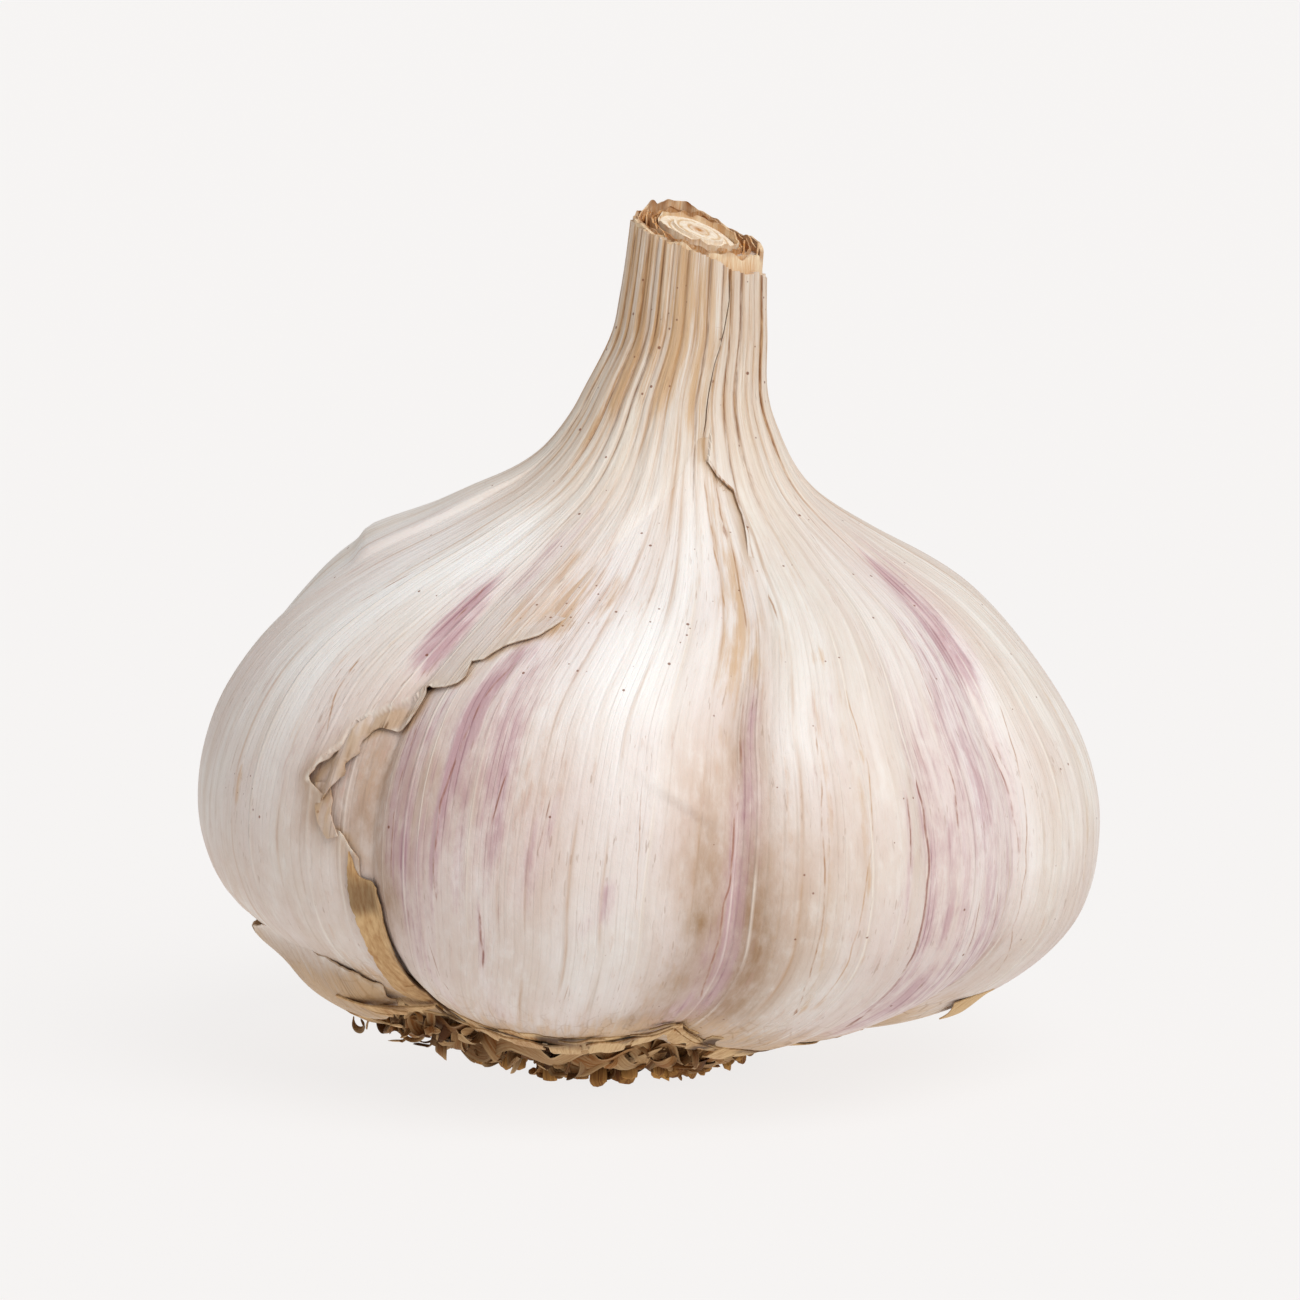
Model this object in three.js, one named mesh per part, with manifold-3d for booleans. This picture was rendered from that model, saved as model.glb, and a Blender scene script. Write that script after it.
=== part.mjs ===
// A garlic bulb with its cut neck, torn papery skins and cropped roots.
// Millimetres, +Z up. The bulb's front faces -Y, and azimuths turn from the front towards +X.
import * as THREE from "three";
import { mergeVertices } from "three/addons/utils/BufferGeometryUtils.js";
import Module from "manifold-3d";

const wasm = await Module();
wasm.setup();

const { degToRad, euclideanModulo, smoothstep, lerp } = THREE.MathUtils;

// ---- Driving dimensions ----

// Outline of the outer skin from the root plate to the neck: radius and height.
const PROFILE = [
  [0, 3.2], [6, 3.1], [12, 3.2], [18, 4.1], [23, 5.7], [27.2, 8.4],
  [30, 12], [31.3, 16.2], [31.1, 21], [29.4, 25.6], [26.1, 30], [21.1, 34],
  [14.9, 37.6], [9.9, 41], [7.1, 45], [5.6, 49.5], [5, 54], [4.6, 60.5],
];
const DEPTH_RATIO = 0.97; // front to back over side to side
const BELLY_Z = 16; // height of the widest part, where the bulb leans from
const LEAN_DEG = 4; // the neck leans towards +X

// How far the axis lies off the middle, at the base, under the neck and up the neck.
const AXIS = {
  x: -0.3, base: -2.1, baseZ: [2, 14], waist: -0.5, waistZ: 38.5, waistHeight: 4.5,
  neck: 0.7, neckZ: [46, 52],
};
const TWIST_DEG = 12; // how far the cloves turn between the belly and the neck
const TWIST_RANGE = [0.55, 0.78]; // along the outline

// Each clove starts at a groove: azimuth, groove depth, and an even number of mesh columns.
const CLOVES = [
  [-39, 2.2, 12], [11.5, 1.7, 12], [57, 2.2, 10], [103, 1.9, 6],
  [147, 1.7, 6], [189, 1.9, 6], [226, 1.8, 6], [261, 1, 12],
];
const CLOVE_ROUNDNESS = 0.97; // section of a clove: 1 would sink vertically into the groove
const CLOVE_POWER = 0.7;
const RELIEF_TOP_Z = [26.5, 40.5]; // the cloves fade out into the neck over these heights
const RELIEF_BASE_R = [6, 17]; // and into the root plate over these radii
const FOLD = { azimuth: 38.1, depth: 0.6, width: 3.5 }; // shallow crease in the front right clove
const NECK_RIB = 0.2; // how far a leaf rib stands out of the neck
const NECK_RIB_Z = [40, 47]; // where the ribs begin

// Uneven places: the left and right shoulders, and the tucked-in lower left.
const SWELLS = [
  { azimuth: -118, z: 33.5, size: 0.8, width: 24, height: 3 },
  { azimuth: 100, z: 35, size: 1.1, width: 26, height: 3.5 },
  { azimuth: -80, z: 7, size: -1.5, width: 34, height: 3.4 },
];
const SWELL_FADE_R = [14, 22]; // none of them reaches the root plate

// Layers, each as a lift from the outer skin's own outside.
const SKIN_THICKNESS = 0.7;
const GAP = 0.3;
const WRAPPED_LIFT = -SKIN_THICKNESS - GAP; // the inner skin where the outer skin covers it
const BARE_LIFT = -0.25; // the inner skin inside the tear
const REMNANT_THICKNESS = 0.7;
const REMNANT_FLARE = 1.2; // how far the dry flake on the left stands off
const REMNANT_FLARE_AT = { azimuth: -72, width: 20, rows: [0.17, 0.27] };
const FLAP_LIFT = 1.3; // how far the torn edge of the outer skin curls away
const FLAP_AT = { width: 5, start: [0.445, 0.475], end: [0.585, 0.61] }; // degrees, then outline shares
const BARE_EDGE = [2, 8]; // degrees inside the tear over which the inner skin rises
const BARE_ROWS = { margin: 0.03, start: [0.2, 0.26], end: [0.72, 0.77] };

// Rows of the mesh, as shares of the outline's length.
const SKIN_BASE = 0.12;
const SKIN_ROWS = 18;
const REMNANT_ROWS = 8; // of the skin's rows, from its base

// The tear in the outer skin: its left edge and its right edge, from the neck's slit to the base,
// as column azimuth and share of the outline.
const TEAR_LEFT = [
  [11, 1.05], [12, 0.94], [3, 0.885], [1, 0.834], [-1, 0.8], [-6, 0.768], [-14, 0.736], [-22, 0.694],
  [-21.5, 0.655], [-21, 0.631], [-26, 0.62], [-31, 0.606], [-30.5, 0.588], [-34.5, 0.577],
  [-37, 0.558], [-40.5, 0.555], [-44, 0.544], [-45, 0.522], [-48, 0.486], [-48, 0.474],
  [-44.5, 0.445], [-41, 0.415], [-39.5, 0.343], [-42, 0.242], [-39, 0.175],
];
const TEAR_RIGHT = [
  [15, 0.172], [15, 0.25], [10.5, 0.42], [11, 0.51], [12, 0.59], [11.6, 0.637], [12.2, 0.669],
  [14.4, 0.702], [17.7, 0.75], [17, 0.772], [12, 0.782], [4.5, 0.802], [4, 0.817], [6, 0.834],
  [8, 0.885], [17.5, 0.94], [17, 1.05],
];

// Top edge of the dry wrapper left round the base: column azimuth and share of the outline.
const REMNANT_EDGE = [
  [-180, 0.22], [-140, 0.25], [-110, 0.27], [-95, 0.29], [-85, 0.32], [-72, 0.335], [-62, 0.3],
  [-52, 0.235], [-46, 0.26], [-43.5, 0.39], [-40, 0.425], [-37, 0.38], [-34, 0.24], [-28, 0.205],
  [-20, 0.215], [-12, 0.25], [-4, 0.255], [4, 0.265], [10, 0.255], [15, 0.28], [20, 0.24],
  [28, 0.2], [45, 0.19], [58, 0.2], [62, 0.29], [67, 0.305], [71, 0.285], [75, 0.21],
  [100, 0.2], [140, 0.24], [180, 0.22],
];
const REMNANT_EDGE_STEP = 4; // degrees between the points of the torn edge
const REMNANT_TEETH = [[0.006, 0.9, 0], [0.005, 2.3, 1]]; // size, waves per degree, phase

// Neck layers inside the outer skin.
const BORE_RADIUS = 2.85;
const BORE_BOTTOM_Z = 46;
const SHEATH_THICKNESS = 0.65;
const STALK_RADIUS = 1.6;

// Slanted knife cut across the neck: height on the axis, fall towards +X, rise towards +Y, and
// how ragged the rim is.
const CUT_OUTER = { height: 56.6, fall: 0.4, rise: 0, ragged: 0.5 };
const CUT_BULB = { height: 57.75, fall: 0.3, rise: 0.2, ragged: 0.4 };
const CUT_INNER = { height: 57.9, fall: 0.3, rise: 0.2, ragged: 0.3 };
const CUT_STALK = { height: 58.2, fall: 0.3, rise: 0.2, ragged: 0 };
const CUT_WAVES = [5, 11]; // how many teeth of each of two sizes run round the rim
const NECK_AXIS_X = 3.5;
const ROUND_SIDES = 24;

// Cutters end well outside the bulb.
const CUTTER_REACH = 12;
const CUTTER_TOP_Z = 90;

// Roots.
const PLATE_RADIUS = 10;
const PLATE_Z = [1.3, 3.9];
const CORE_RADIUS = 6.8; // matted middle of the tuft, flat where it stands
const ROOT_CENTRE_X = 1.2; // of the tuft, from the bulb's axis
const ROOT_SIDES = 5;
const ROOT_STEPS = 2;
const ROOT_DIAMETER = [1.2, 1.7];
const ROOT_SWING = 14; // degrees by which a tip may stray round the tuft, over all
const ROOT_SPREAD = [0.93, 1.07]; // how much further in or out a tip may lie
const ROOT_HEIGHTS = { start: 1.7, bend: 0.65, tip: -1 }; // the tips run on down to be trimmed flat
// Rings of roots: how many, radius where they leave the plate, radius of their tips.
const ROOT_RINGS = [[28, 8.8, 11.6], [20, 7.8, 9.6], [8, 6.2, 7.8]];

// ---- Surface of the bulb ----

const outline = new THREE.SplineCurve(PROFILE.map(([r, z]) => new THREE.Vector2(r, z)));
const NECK_TOP_Z = PROFILE[PROFILE.length - 1][1]; // before the slanted cuts

/** Signed difference between two azimuths, in degrees. */
function turn(from, to) {
  return euclideanModulo(to - from + 180, 360) - 180;
}

/** Value at x on a line through sorted [x, value] points. */
function interpolate(points, x) {
  const next = points.findIndex(([at]) => at >= x);
  if (next === 0) return points[0][1];
  if (next < 0) return points[points.length - 1][1];
  const [x0, y0] = points[next - 1];
  const [x1, y1] = points[next];
  return lerp(y0, y1, (x - x0) / (x1 - x0));
}

/** How far the skin sinks between the cloves at a column azimuth, as a negative lift. */
function cloveRelief(column) {
  const starts = CLOVES.map(([azimuth]) => euclideanModulo(column - azimuth, 360));
  const index = starts.indexOf(Math.min(...starts));
  const [start, depth] = CLOVES[index];
  const [end, nextDepth] = CLOVES[(index + 1) % CLOVES.length];
  const width = euclideanModulo(end - start, 360);
  const share = starts[index] / width;
  const across = 2 * share - 1;
  const bulge = (1 - CLOVE_ROUNDNESS * across * across) ** CLOVE_POWER;
  const fold = FOLD.depth * Math.exp(-((turn(FOLD.azimuth, column) / FOLD.width) ** 2));
  return lerp(depth, nextDepth, share) * (bulge - 1) - fold;
}

/** Lift of the uneven places at a column azimuth, radius and height. */
function swelling(column, r, z) {
  const parts = SWELLS.map(({ azimuth, z: middle, size, width, height }) => (
    size * Math.exp(-((turn(azimuth, column) / width) ** 2) - ((z - middle) / height) ** 2)
  ));
  const fade = z > BELLY_Z ? 1 : smoothstep(r, ...SWELL_FADE_R);
  return fade * parts.reduce((sum, part) => sum + part);
}

/** Puts a point given by azimuth, radius and height on the curved, leaning axis. */
function place(azimuth, radius, z, offsetX = 0) {
  const angle = degToRad(azimuth);
  const base = AXIS.base * (1 - smoothstep(z, ...AXIS.baseZ));
  const waist = AXIS.waist * Math.exp(-(((z - AXIS.waistZ) / AXIS.waistHeight) ** 2));
  const neck = AXIS.neck * smoothstep(z, ...AXIS.neckZ);
  const x = radius * Math.sin(angle) + AXIS.x + base + waist + neck + offsetX;
  const y = -radius * Math.cos(angle) * DEPTH_RATIO;
  return new THREE.Vector3(x, y, z - BELLY_Z)
    .applyAxisAngle(new THREE.Vector3(0, 1, 0), degToRad(LEAN_DEG))
    .add(new THREE.Vector3(0, 0, BELLY_Z));
}

/** Point on the bulb: column azimuth, share of the outline, lift off the outer skin, rib share. */
function surface(column, t, lift, rib = 0) {
  const { x: r, y: z } = outline.getPoint(t);
  const along = outline.getTangent(t);
  const fade = z > BELLY_Z ? 1 - smoothstep(z, ...RELIEF_TOP_Z) : smoothstep(r, ...RELIEF_BASE_R);
  const ribs = NECK_RIB * rib * smoothstep(z, ...NECK_RIB_Z);
  const out = cloveRelief(column) * fade + swelling(column, r, z) + ribs + lift;
  const azimuth = column + TWIST_DEG * smoothstep(t, ...TWIST_RANGE);
  return place(azimuth, r + out * along.y, z - out * along.x);
}

// ---- Solids from rings and outlines ----

/** A manifold solid from a closed three.js geometry. */
function solid(geometry) {
  const plain = geometry.index ? geometry.clone() : geometry;
  plain.deleteAttribute("normal");
  plain.deleteAttribute("uv");
  const merged = mergeVertices(plain, 1e-4);
  const mesh = new wasm.Mesh({
    numProp: 3,
    vertProperties: new Float32Array(merged.attributes.position.array),
    triVerts: new Uint32Array(merged.index.array),
  });
  return new wasm.Manifold(mesh);
}

/** Solid whose surface runs over rings of points; looped, the last ring meets the first. */
function ringSolid(rings, looped) {
  const count = rings[0].length;
  const points = rings.flat();
  const faces = [];
  const last = looped ? rings.length : rings.length - 1;
  for (let row = 0; row < last; row += 1) {
    const below = row * count;
    const above = ((row + 1) % rings.length) * count;
    for (let i = 0; i < count; i += 1) {
      const j = (i + 1) % count;
      faces.push(below + i, below + j, above + j, below + i, above + j, above + i);
    }
  }
  if (!looped) {
    const centre = (ring) => ring.reduce((sum, p) => sum.add(p), new THREE.Vector3()).divideScalar(count);
    const top = (rings.length - 1) * count;
    points.push(centre(rings[0]), centre(rings[rings.length - 1]));
    for (let i = 0; i < count; i += 1) {
      const j = (i + 1) % count;
      faces.push(points.length - 2, j, i, points.length - 1, top + i, top + j);
    }
  }
  const geometry = new THREE.BufferGeometry().setFromPoints(points);
  geometry.setIndex(faces);
  return solid(geometry);
}

/** Cutter that goes radially through the skin inside an outline of [column, t] points. */
function radialCutter(edge) {
  const flat = edge.map(([column, t]) => new THREE.Vector2(column, t));
  const caps = THREE.ShapeUtils.triangulateShape(flat, []);
  const count = edge.length;
  const onSkin = edge.map(([column, t]) => surface(column, t, 0));
  const reach = (share) => onSkin.map((p) => new THREE.Vector3(p.x * share, p.y * share, p.z));
  const [inside, outside] = [0.3, 3]; // shares of the way out from the axis
  const faces = [];
  for (let i = 0; i < count; i += 1) {
    const j = (i + 1) % count;
    faces.push(i, j, count + j, i, count + j, count + i);
  }
  for (const [a, b, c] of caps) {
    faces.push(c, b, a, count + a, count + b, count + c);
  }
  const geometry = new THREE.BufferGeometry().setFromPoints([...reach(inside), ...reach(outside)]);
  geometry.setIndex(faces);
  return solid(geometry);
}

/** Everything above a slanted, slightly ragged cut across the neck. */
function aboveCut({ height, fall, rise, ragged }) {
  const ring = (z) => Array.from({ length: ROUND_SIDES }, (_, i) => {
    const angle = (2 * Math.PI * i) / ROUND_SIDES;
    const x = CUTTER_REACH * Math.cos(angle);
    const y = CUTTER_REACH * Math.sin(angle);
    const [wide, narrow] = CUT_WAVES;
    const tooth = ragged * (Math.sin(wide * angle + 1) + Math.sin(narrow * angle));
    return new THREE.Vector3(NECK_AXIS_X + x, y, z ?? height - fall * x + rise * y + tooth);
  });
  return ringSolid([ring(), ring(CUTTER_TOP_Z)], false);
}

/** The biggest piece of a solid, without loose scraps or sealed hollows. */
function mainBody(body) {
  return body.decompose().reduce((big, piece) => (piece.volume() > big.volume() ? piece : big));
}

// ---- Mesh columns and rows shared by every layer, so that the gaps between them stay even ----

const columns = CLOVES.flatMap(([start, , count], index) => {
  const width = euclideanModulo(CLOVES[(index + 1) % CLOVES.length][0] - start, 360);
  return Array.from({ length: count }, (_, i) => start + (width * i) / count);
});
const skinRows = Array.from({ length: SKIN_ROWS + 1 }, (_, i) => lerp(SKIN_BASE, 1, i / SKIN_ROWS));

/** One ring of the bulb, with a leaf rib on every other column. */
function skinRing(t, lift) {
  return columns.map((column, i) => surface(column, t, lift(column, t), i % 2));
}

/** A layer between two lifts over some rows. */
function layer(rows, thickness, lift) {
  const outside = rows.map((t) => skinRing(t, lift));
  const inside = rows.map((t) => skinRing(t, (column) => lift(column, t) - thickness)).reverse();
  return ringSolid([...outside, ...inside], true);
}

// ---- Pieces ----

const tearLeftByT = TEAR_LEFT.map(([column, t]) => [t, column]).reverse();
const tearRightByT = TEAR_RIGHT.map(([column, t]) => [t, column]);

/** Share, 0 to 1, by which the inner skin fills the tear in the outer one. */
function bareShare(column, t) {
  const near = [t - BARE_ROWS.margin, t, t + BARE_ROWS.margin];
  const left = Math.max(...near.map((at) => interpolate(tearLeftByT, at)));
  const right = Math.min(...near.map((at) => interpolate(tearRightByT, at)));
  const inside = Math.min(turn(left, column), turn(column, right));
  const rows = smoothstep(t, ...BARE_ROWS.start) * (1 - smoothstep(t, ...BARE_ROWS.end));
  return rows * smoothstep(inside, ...BARE_EDGE);
}

/** The cloves in their inner skin, which narrows into the neck's middle sheath, open at the top. */
function bulbSolid() {
  const rows = [SKIN_BASE / 3, (2 * SKIN_BASE) / 3, ...skinRows];
  const rings = rows.map((t) => skinRing(t, (column) => lerp(WRAPPED_LIFT, BARE_LIFT, bareShare(column, t))));
  const bore = (z) => columns.map((column) => place(column + TWIST_DEG, BORE_RADIUS, z));
  return ringSolid([...rings, bore(NECK_TOP_Z), bore(BORE_BOTTOM_Z)], false).subtract(aboveCut(CUT_BULB));
}

/** The outer skin: one torn sheet round the back from the tear's right edge to its left edge. */
function outerSkinSolid() {
  const curl = (column, t) => {
    const fromEdge = turn(interpolate(tearLeftByT, t), column);
    const rows = smoothstep(t, ...FLAP_AT.start) * (1 - smoothstep(t, ...FLAP_AT.end));
    return FLAP_LIFT * rows * Math.exp(-((fromEdge / FLAP_AT.width) ** 2));
  };
  const sheet = layer(skinRows, SKIN_THICKNESS, curl);
  const tear = radialCutter([...TEAR_LEFT, ...TEAR_RIGHT]);
  return mainBody(sheet.subtract(tear).subtract(aboveCut(CUT_OUTER)));
}

/** What is left of an older wrapper: a ragged collar with flakes, round the base. */
function baseRemnantSolid() {
  const lift = (column, t) => {
    const { azimuth, width, rows } = REMNANT_FLARE_AT;
    const flake = Math.exp(-((turn(azimuth, column) / width) ** 2)) * smoothstep(t, ...rows);
    return GAP + REMNANT_THICKNESS + REMNANT_FLARE * flake;
  };
  const sheet = layer(skinRows.slice(0, REMNANT_ROWS), REMNANT_THICKNESS, lift);
  const edge = Array.from({ length: 360 / REMNANT_EDGE_STEP }, (_, i) => {
    const column = i * REMNANT_EDGE_STEP - 180;
    const teeth = REMNANT_TEETH.map(([size, waves, phase]) => size * Math.sin(column * waves + phase));
    const t = interpolate(REMNANT_EDGE, column) + teeth.reduce((sum, tooth) => sum + tooth);
    return surface(column, t, 0);
  });
  const ring = (share, z) => edge.map((p) => new THREE.Vector3(p.x * share, p.y * share, z ?? p.z));
  const [inside, outside] = [0.6, 1.5]; // shares of the way out from the axis
  const above = [ring(inside), ring(outside), ring(outside, CUTTER_TOP_Z), ring(inside, CUTTER_TOP_Z)];
  return mainBody(sheet.subtract(ringSolid(above, true)));
}

/** A ring of points at one radius and height round the bulb's axis. */
function roundRing(radius, z, offsetX = 0) {
  return Array.from({ length: ROUND_SIDES }, (_, i) => place((360 * i) / ROUND_SIDES, radius, z, offsetX));
}

/** The innermost leaf sheath, a ring that stands in the neck. */
function innerSheathSolid() {
  const radius = BORE_RADIUS - GAP;
  const hole = radius - SHEATH_THICKNESS;
  const bottom = BORE_BOTTOM_Z + GAP;
  const wall = [[hole, bottom], [radius, bottom], [radius, NECK_TOP_Z], [hole, NECK_TOP_Z]];
  return ringSolid(wall.map(([r, z]) => roundRing(r, z)), true).subtract(aboveCut(CUT_INNER));
}

/** The dry flower stalk in the middle of the neck. */
function stalkSolid() {
  const ends = [BORE_BOTTOM_Z + GAP, NECK_TOP_Z];
  return ringSolid(ends.map((z) => roundRing(STALK_RADIUS, z)), false).subtract(aboveCut(CUT_STALK));
}

/** Repeatable draws between 0 and 1. */
function seededDraws(seed) {
  let state = seed;
  return () => {
    state = (state * 1664525 + 1013904223) % 4294967296;
    return state / 4294967296;
  };
}

/** One cropped root, bent along a path of three points. */
function rootSolid(path, diameter) {
  const section = new THREE.Shape(
    Array.from({ length: ROOT_SIDES }, (_, i) => {
      const angle = (2 * Math.PI * i) / ROOT_SIDES;
      return new THREE.Vector2(Math.cos(angle), Math.sin(angle)).multiplyScalar(diameter / 2);
    }),
  );
  const extrudePath = new THREE.QuadraticBezierCurve3(...path);
  return solid(new THREE.ExtrudeGeometry(section, { steps: ROOT_STEPS, extrudePath }));
}

/** A round pad of the root plate, a little narrower at its underside. */
function padSolid(radius, low, high) {
  const rings = [[0.92 * radius, low], [radius, lerp(low, high, 0.4)], [radius, high]];
  return ringSolid(rings.map(([r, z]) => roundRing(r, z, ROOT_CENTRE_X)), false);
}

/** The root plate with its cropped roots, flat where they stand. */
function rootTuftSolid() {
  const draw = seededDraws(7);
  const { start, bend, tip } = ROOT_HEIGHTS;
  let tuft = padSolid(PLATE_RADIUS, ...PLATE_Z).add(padSolid(CORE_RADIUS, tip, lerp(...PLATE_Z, 0.5)));
  for (const [count, startRadius, tipRadius] of ROOT_RINGS) {
    for (let i = 0; i < count; i += 1) {
      const azimuth = (360 * (i + 0.5 * draw())) / count;
      const tipAzimuth = azimuth + ROOT_SWING * (draw() - 0.5);
      const radius = tipRadius * lerp(...ROOT_SPREAD, draw());
      const path = [
        place(azimuth, startRadius, start, ROOT_CENTRE_X),
        place(azimuth, radius, bend, ROOT_CENTRE_X),
        place(tipAzimuth, radius, 0, ROOT_CENTRE_X).setZ(tip),
      ];
      tuft = tuft.add(rootSolid(path, lerp(...ROOT_DIAMETER, draw())));
    }
  }
  const underFloor = new THREE.BoxGeometry(80, 80, 20).translate(0, 0, -10);
  return mainBody(tuft.subtract(solid(underFloor)));
}

// ---- Materials ----

const material = (color, roughness) => new THREE.MeshStandardMaterial({ color, roughness, metalness: 0 });
const innerSkin = material(0xe6dad3, 0.45);
const outerSkin = material(0xddd3c6, 0.5);
const driedWrapper = material(0xc0a274, 0.8);
const neckSheath = material(0xc9ab83, 0.75);
const stalkPith = material(0xe4d5ba, 0.8);
const dryRoot = material(0x8a6238, 0.9);

// ---- Assembly ----

/** A named mesh from a finished solid. */
function meshOf(name, body, look) {
  const { vertProperties, triVerts } = body.getMesh();
  const geometry = new THREE.BufferGeometry();
  geometry.setAttribute("position", new THREE.BufferAttribute(new Float32Array(vertProperties), 3));
  geometry.setIndex(new THREE.BufferAttribute(new Uint32Array(triVerts), 1));
  geometry.computeVertexNormals();
  const mesh = new THREE.Mesh(geometry, look);
  mesh.name = name;
  return mesh;
}

const garlic = new THREE.Group();
garlic.add(
  meshOf("bulb", bulbSolid(), innerSkin),
  meshOf("outer_skin", outerSkinSolid(), outerSkin),
  meshOf("base_remnant", baseRemnantSolid(), driedWrapper),
  meshOf("inner_sheath", innerSheathSolid(), neckSheath),
  meshOf("flower_stalk", stalkSolid(), stalkPith),
  meshOf("root_tuft", rootTuftSolid(), dryRoot),
);

export default garlic;
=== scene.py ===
"""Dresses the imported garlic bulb: papery skins, cut neck, old wrapper and cropped roots.

Lengths in the shape code are millimetres, as in the solids, and become metres in the meshes.
Azimuths turn from the torn front (-Y) towards +X. A column is an azimuth before the neck's twist.
"""

import math

import bpy
import numpy as np
from bpy.props import FloatProperty, FloatVectorProperty, IntProperty, PointerProperty
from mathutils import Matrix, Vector, kdtree
from mathutils.geometry import delaunay_2d_cdt


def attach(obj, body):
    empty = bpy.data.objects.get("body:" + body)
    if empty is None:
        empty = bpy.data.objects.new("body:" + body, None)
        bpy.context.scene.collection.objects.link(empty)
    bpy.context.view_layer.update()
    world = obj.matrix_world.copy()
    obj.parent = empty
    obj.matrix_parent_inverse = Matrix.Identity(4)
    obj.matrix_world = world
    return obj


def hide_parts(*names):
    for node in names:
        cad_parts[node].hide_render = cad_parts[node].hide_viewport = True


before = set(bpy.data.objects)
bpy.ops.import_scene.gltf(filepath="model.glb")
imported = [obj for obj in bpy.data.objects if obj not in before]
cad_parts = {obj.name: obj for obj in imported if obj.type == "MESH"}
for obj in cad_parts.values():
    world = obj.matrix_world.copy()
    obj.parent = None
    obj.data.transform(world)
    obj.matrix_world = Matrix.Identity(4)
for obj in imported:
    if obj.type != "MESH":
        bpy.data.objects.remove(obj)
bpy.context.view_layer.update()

bl_info = {
    "name": "Garlic bulb",
    "version": (1, 0, 0),
    "blender": (4, 5, 0),
    "location": "View3D > Sidebar > Garlic",
    "description": "Builds the skins, neck, old wrapper and roots of a dry garlic bulb",
    "category": "Object",
}

MM = 0.001
SEED = 11

# ---- Driving dimensions, the same as the solids have ----

PROFILE = np.array([
    [0, 3.2], [6, 3.1], [12, 3.2], [18, 4.1], [23, 5.7], [27.2, 8.4],
    [30, 12], [31.3, 16.2], [31.1, 21], [29.4, 25.6], [26.1, 30], [21.1, 34],
    [14.9, 37.6], [9.9, 41], [7.1, 45], [5.6, 49.5], [5, 54], [4.6, 60.5],
])
DEPTH_RATIO = 0.97
BELLY_Z = 16
LEAN_DEG = 4
AXIS_X = -0.3
AXIS_BASE = (-2.1, 2, 14)  # shift, and the heights between which it fades
AXIS_WAIST = (-0.5, 38.5, 4.5)  # shift, height, spread
AXIS_NECK = (0.7, 46, 52)
TWIST_DEG = 12
TWIST_RANGE = (0.55, 0.78)

# Clove grooves in order round the bulb: azimuth and depth.
GROOVES = np.array([
    [11.5, 1.7], [57, 2.2], [103, 1.9], [147, 1.7], [189, 1.9], [226, 1.8], [261, 1], [321, 2.2],
])
CLOVE_ROUNDNESS = 0.97
CLOVE_POWER = 0.7
RELIEF_TOP_Z = (26.5, 40.5)
RELIEF_BASE_R = (6, 17)
FOLD = (38.1, 0.6, 3.5)  # azimuth, depth, width
SWELLS = [  # azimuth, height, size, width in degrees, spread in height
    (-118, 33.5, 0.8, 24, 3), (100, 35, 1.1, 26, 3.5), (-80, 7, -1.5, 34, 3.4),
]
SWELL_FADE_R = (14, 22)

SKIN_BASE = 0.12
MM_PER_SHARE = 97  # length of the outline over the body, for one unit of share
MM_PER_DEGREE = 0.5  # width of a degree over the belly
BELLY_RADIUS = 31

# Torn edges, as column azimuth and share of the outline. The left one falls from the neck's slit
# to the base, the right one climbs back.
TEAR_LEFT = [
    (15.6, 1.05), (16, 0.94), (7.3, 0.885), (5.2, 0.834), (2.4, 0.803), (-6, 0.768), (-14, 0.736),
    (-20, 0.69), (-21.5, 0.655), (-23, 0.634), (-24.1, 0.627), (-26.7, 0.621), (-28.8, 0.615),
    (-29.6, 0.611), (-30.4, 0.6035), (-32.4, 0.6025), (-31.4, 0.588), (-31.9, 0.583), (-33.5, 0.579),
    (-36.5, 0.5785), (-36.9, 0.576), (-36.7, 0.568), (-36.8, 0.557), (-37.2, 0.548), (-38, 0.5405),
    (-39.2, 0.539), (-39.8, 0.5385), (-41.5, 0.538), (-45.2, 0.516), (-47, 0.499), (-48.5, 0.481),
    (-48.5, 0.478), (-46.2, 0.47), (-46.5, 0.46), (-45.5, 0.444), (-43.2, 0.441), (-40.5, 0.418),
    (-39.5, 0.343), (-42, 0.242), (-39, 0.175), (-39, 0.11),
]
TEAR_RIGHT = [
    (15, 0.11), (15, 0.25), (10.5, 0.42), (11, 0.51), (12, 0.59), (11.6, 0.637), (12.2, 0.669),
    (14.4, 0.702), (17.7, 0.75), (17, 0.772), (12, 0.782), (4.5, 0.802), (4, 0.817), (6, 0.834),
    (8, 0.885), (17.2, 0.94), (16.8, 1.05),
]
FINE_FROM, FINE_TO = 10, 36  # points of the left one between which it is torn finely
LEFT_BY_SHARE = np.array([(t, c) for c, t in reversed(TEAR_LEFT)])
RIGHT_BY_SHARE = np.array([(t, c) for c, t in TEAR_RIGHT])

# Slanted knife cuts: height on the neck's axis, fall towards +X, rise towards +Y, raggedness.
NECK_AXIS_X = 3.5
CUT_OUTER = (56.6, 0.4, 0.0, 0.3)
CUT_MIDDLE = (57.75, 0.3, 0.2, 0.35)
CUT_INNER = (57.9, 0.3, 0.2, 0.2)
CUT_STALK = (58.2, 0.3, 0.2, 0.0)


# ---- Small maths ----

def smooth(x, low, high):
    """Eased step from 0 at low to 1 at high."""
    s = np.clip((np.asarray(x, float) - low) / (high - low), 0, 1)
    return s * s * (3 - 2 * s)


def bell(x, middle, width):
    """Bell curve of height 1."""
    return np.exp(-(((np.asarray(x, float) - middle) / width) ** 2))


def turn(start, end):
    """Signed difference between azimuths, in degrees."""
    return (np.asarray(end, float) - start + 180) % 360 - 180


def mix(a, b, share):
    """From a at a share of 0 to b at 1."""
    return a + (b - a) * share


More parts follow.
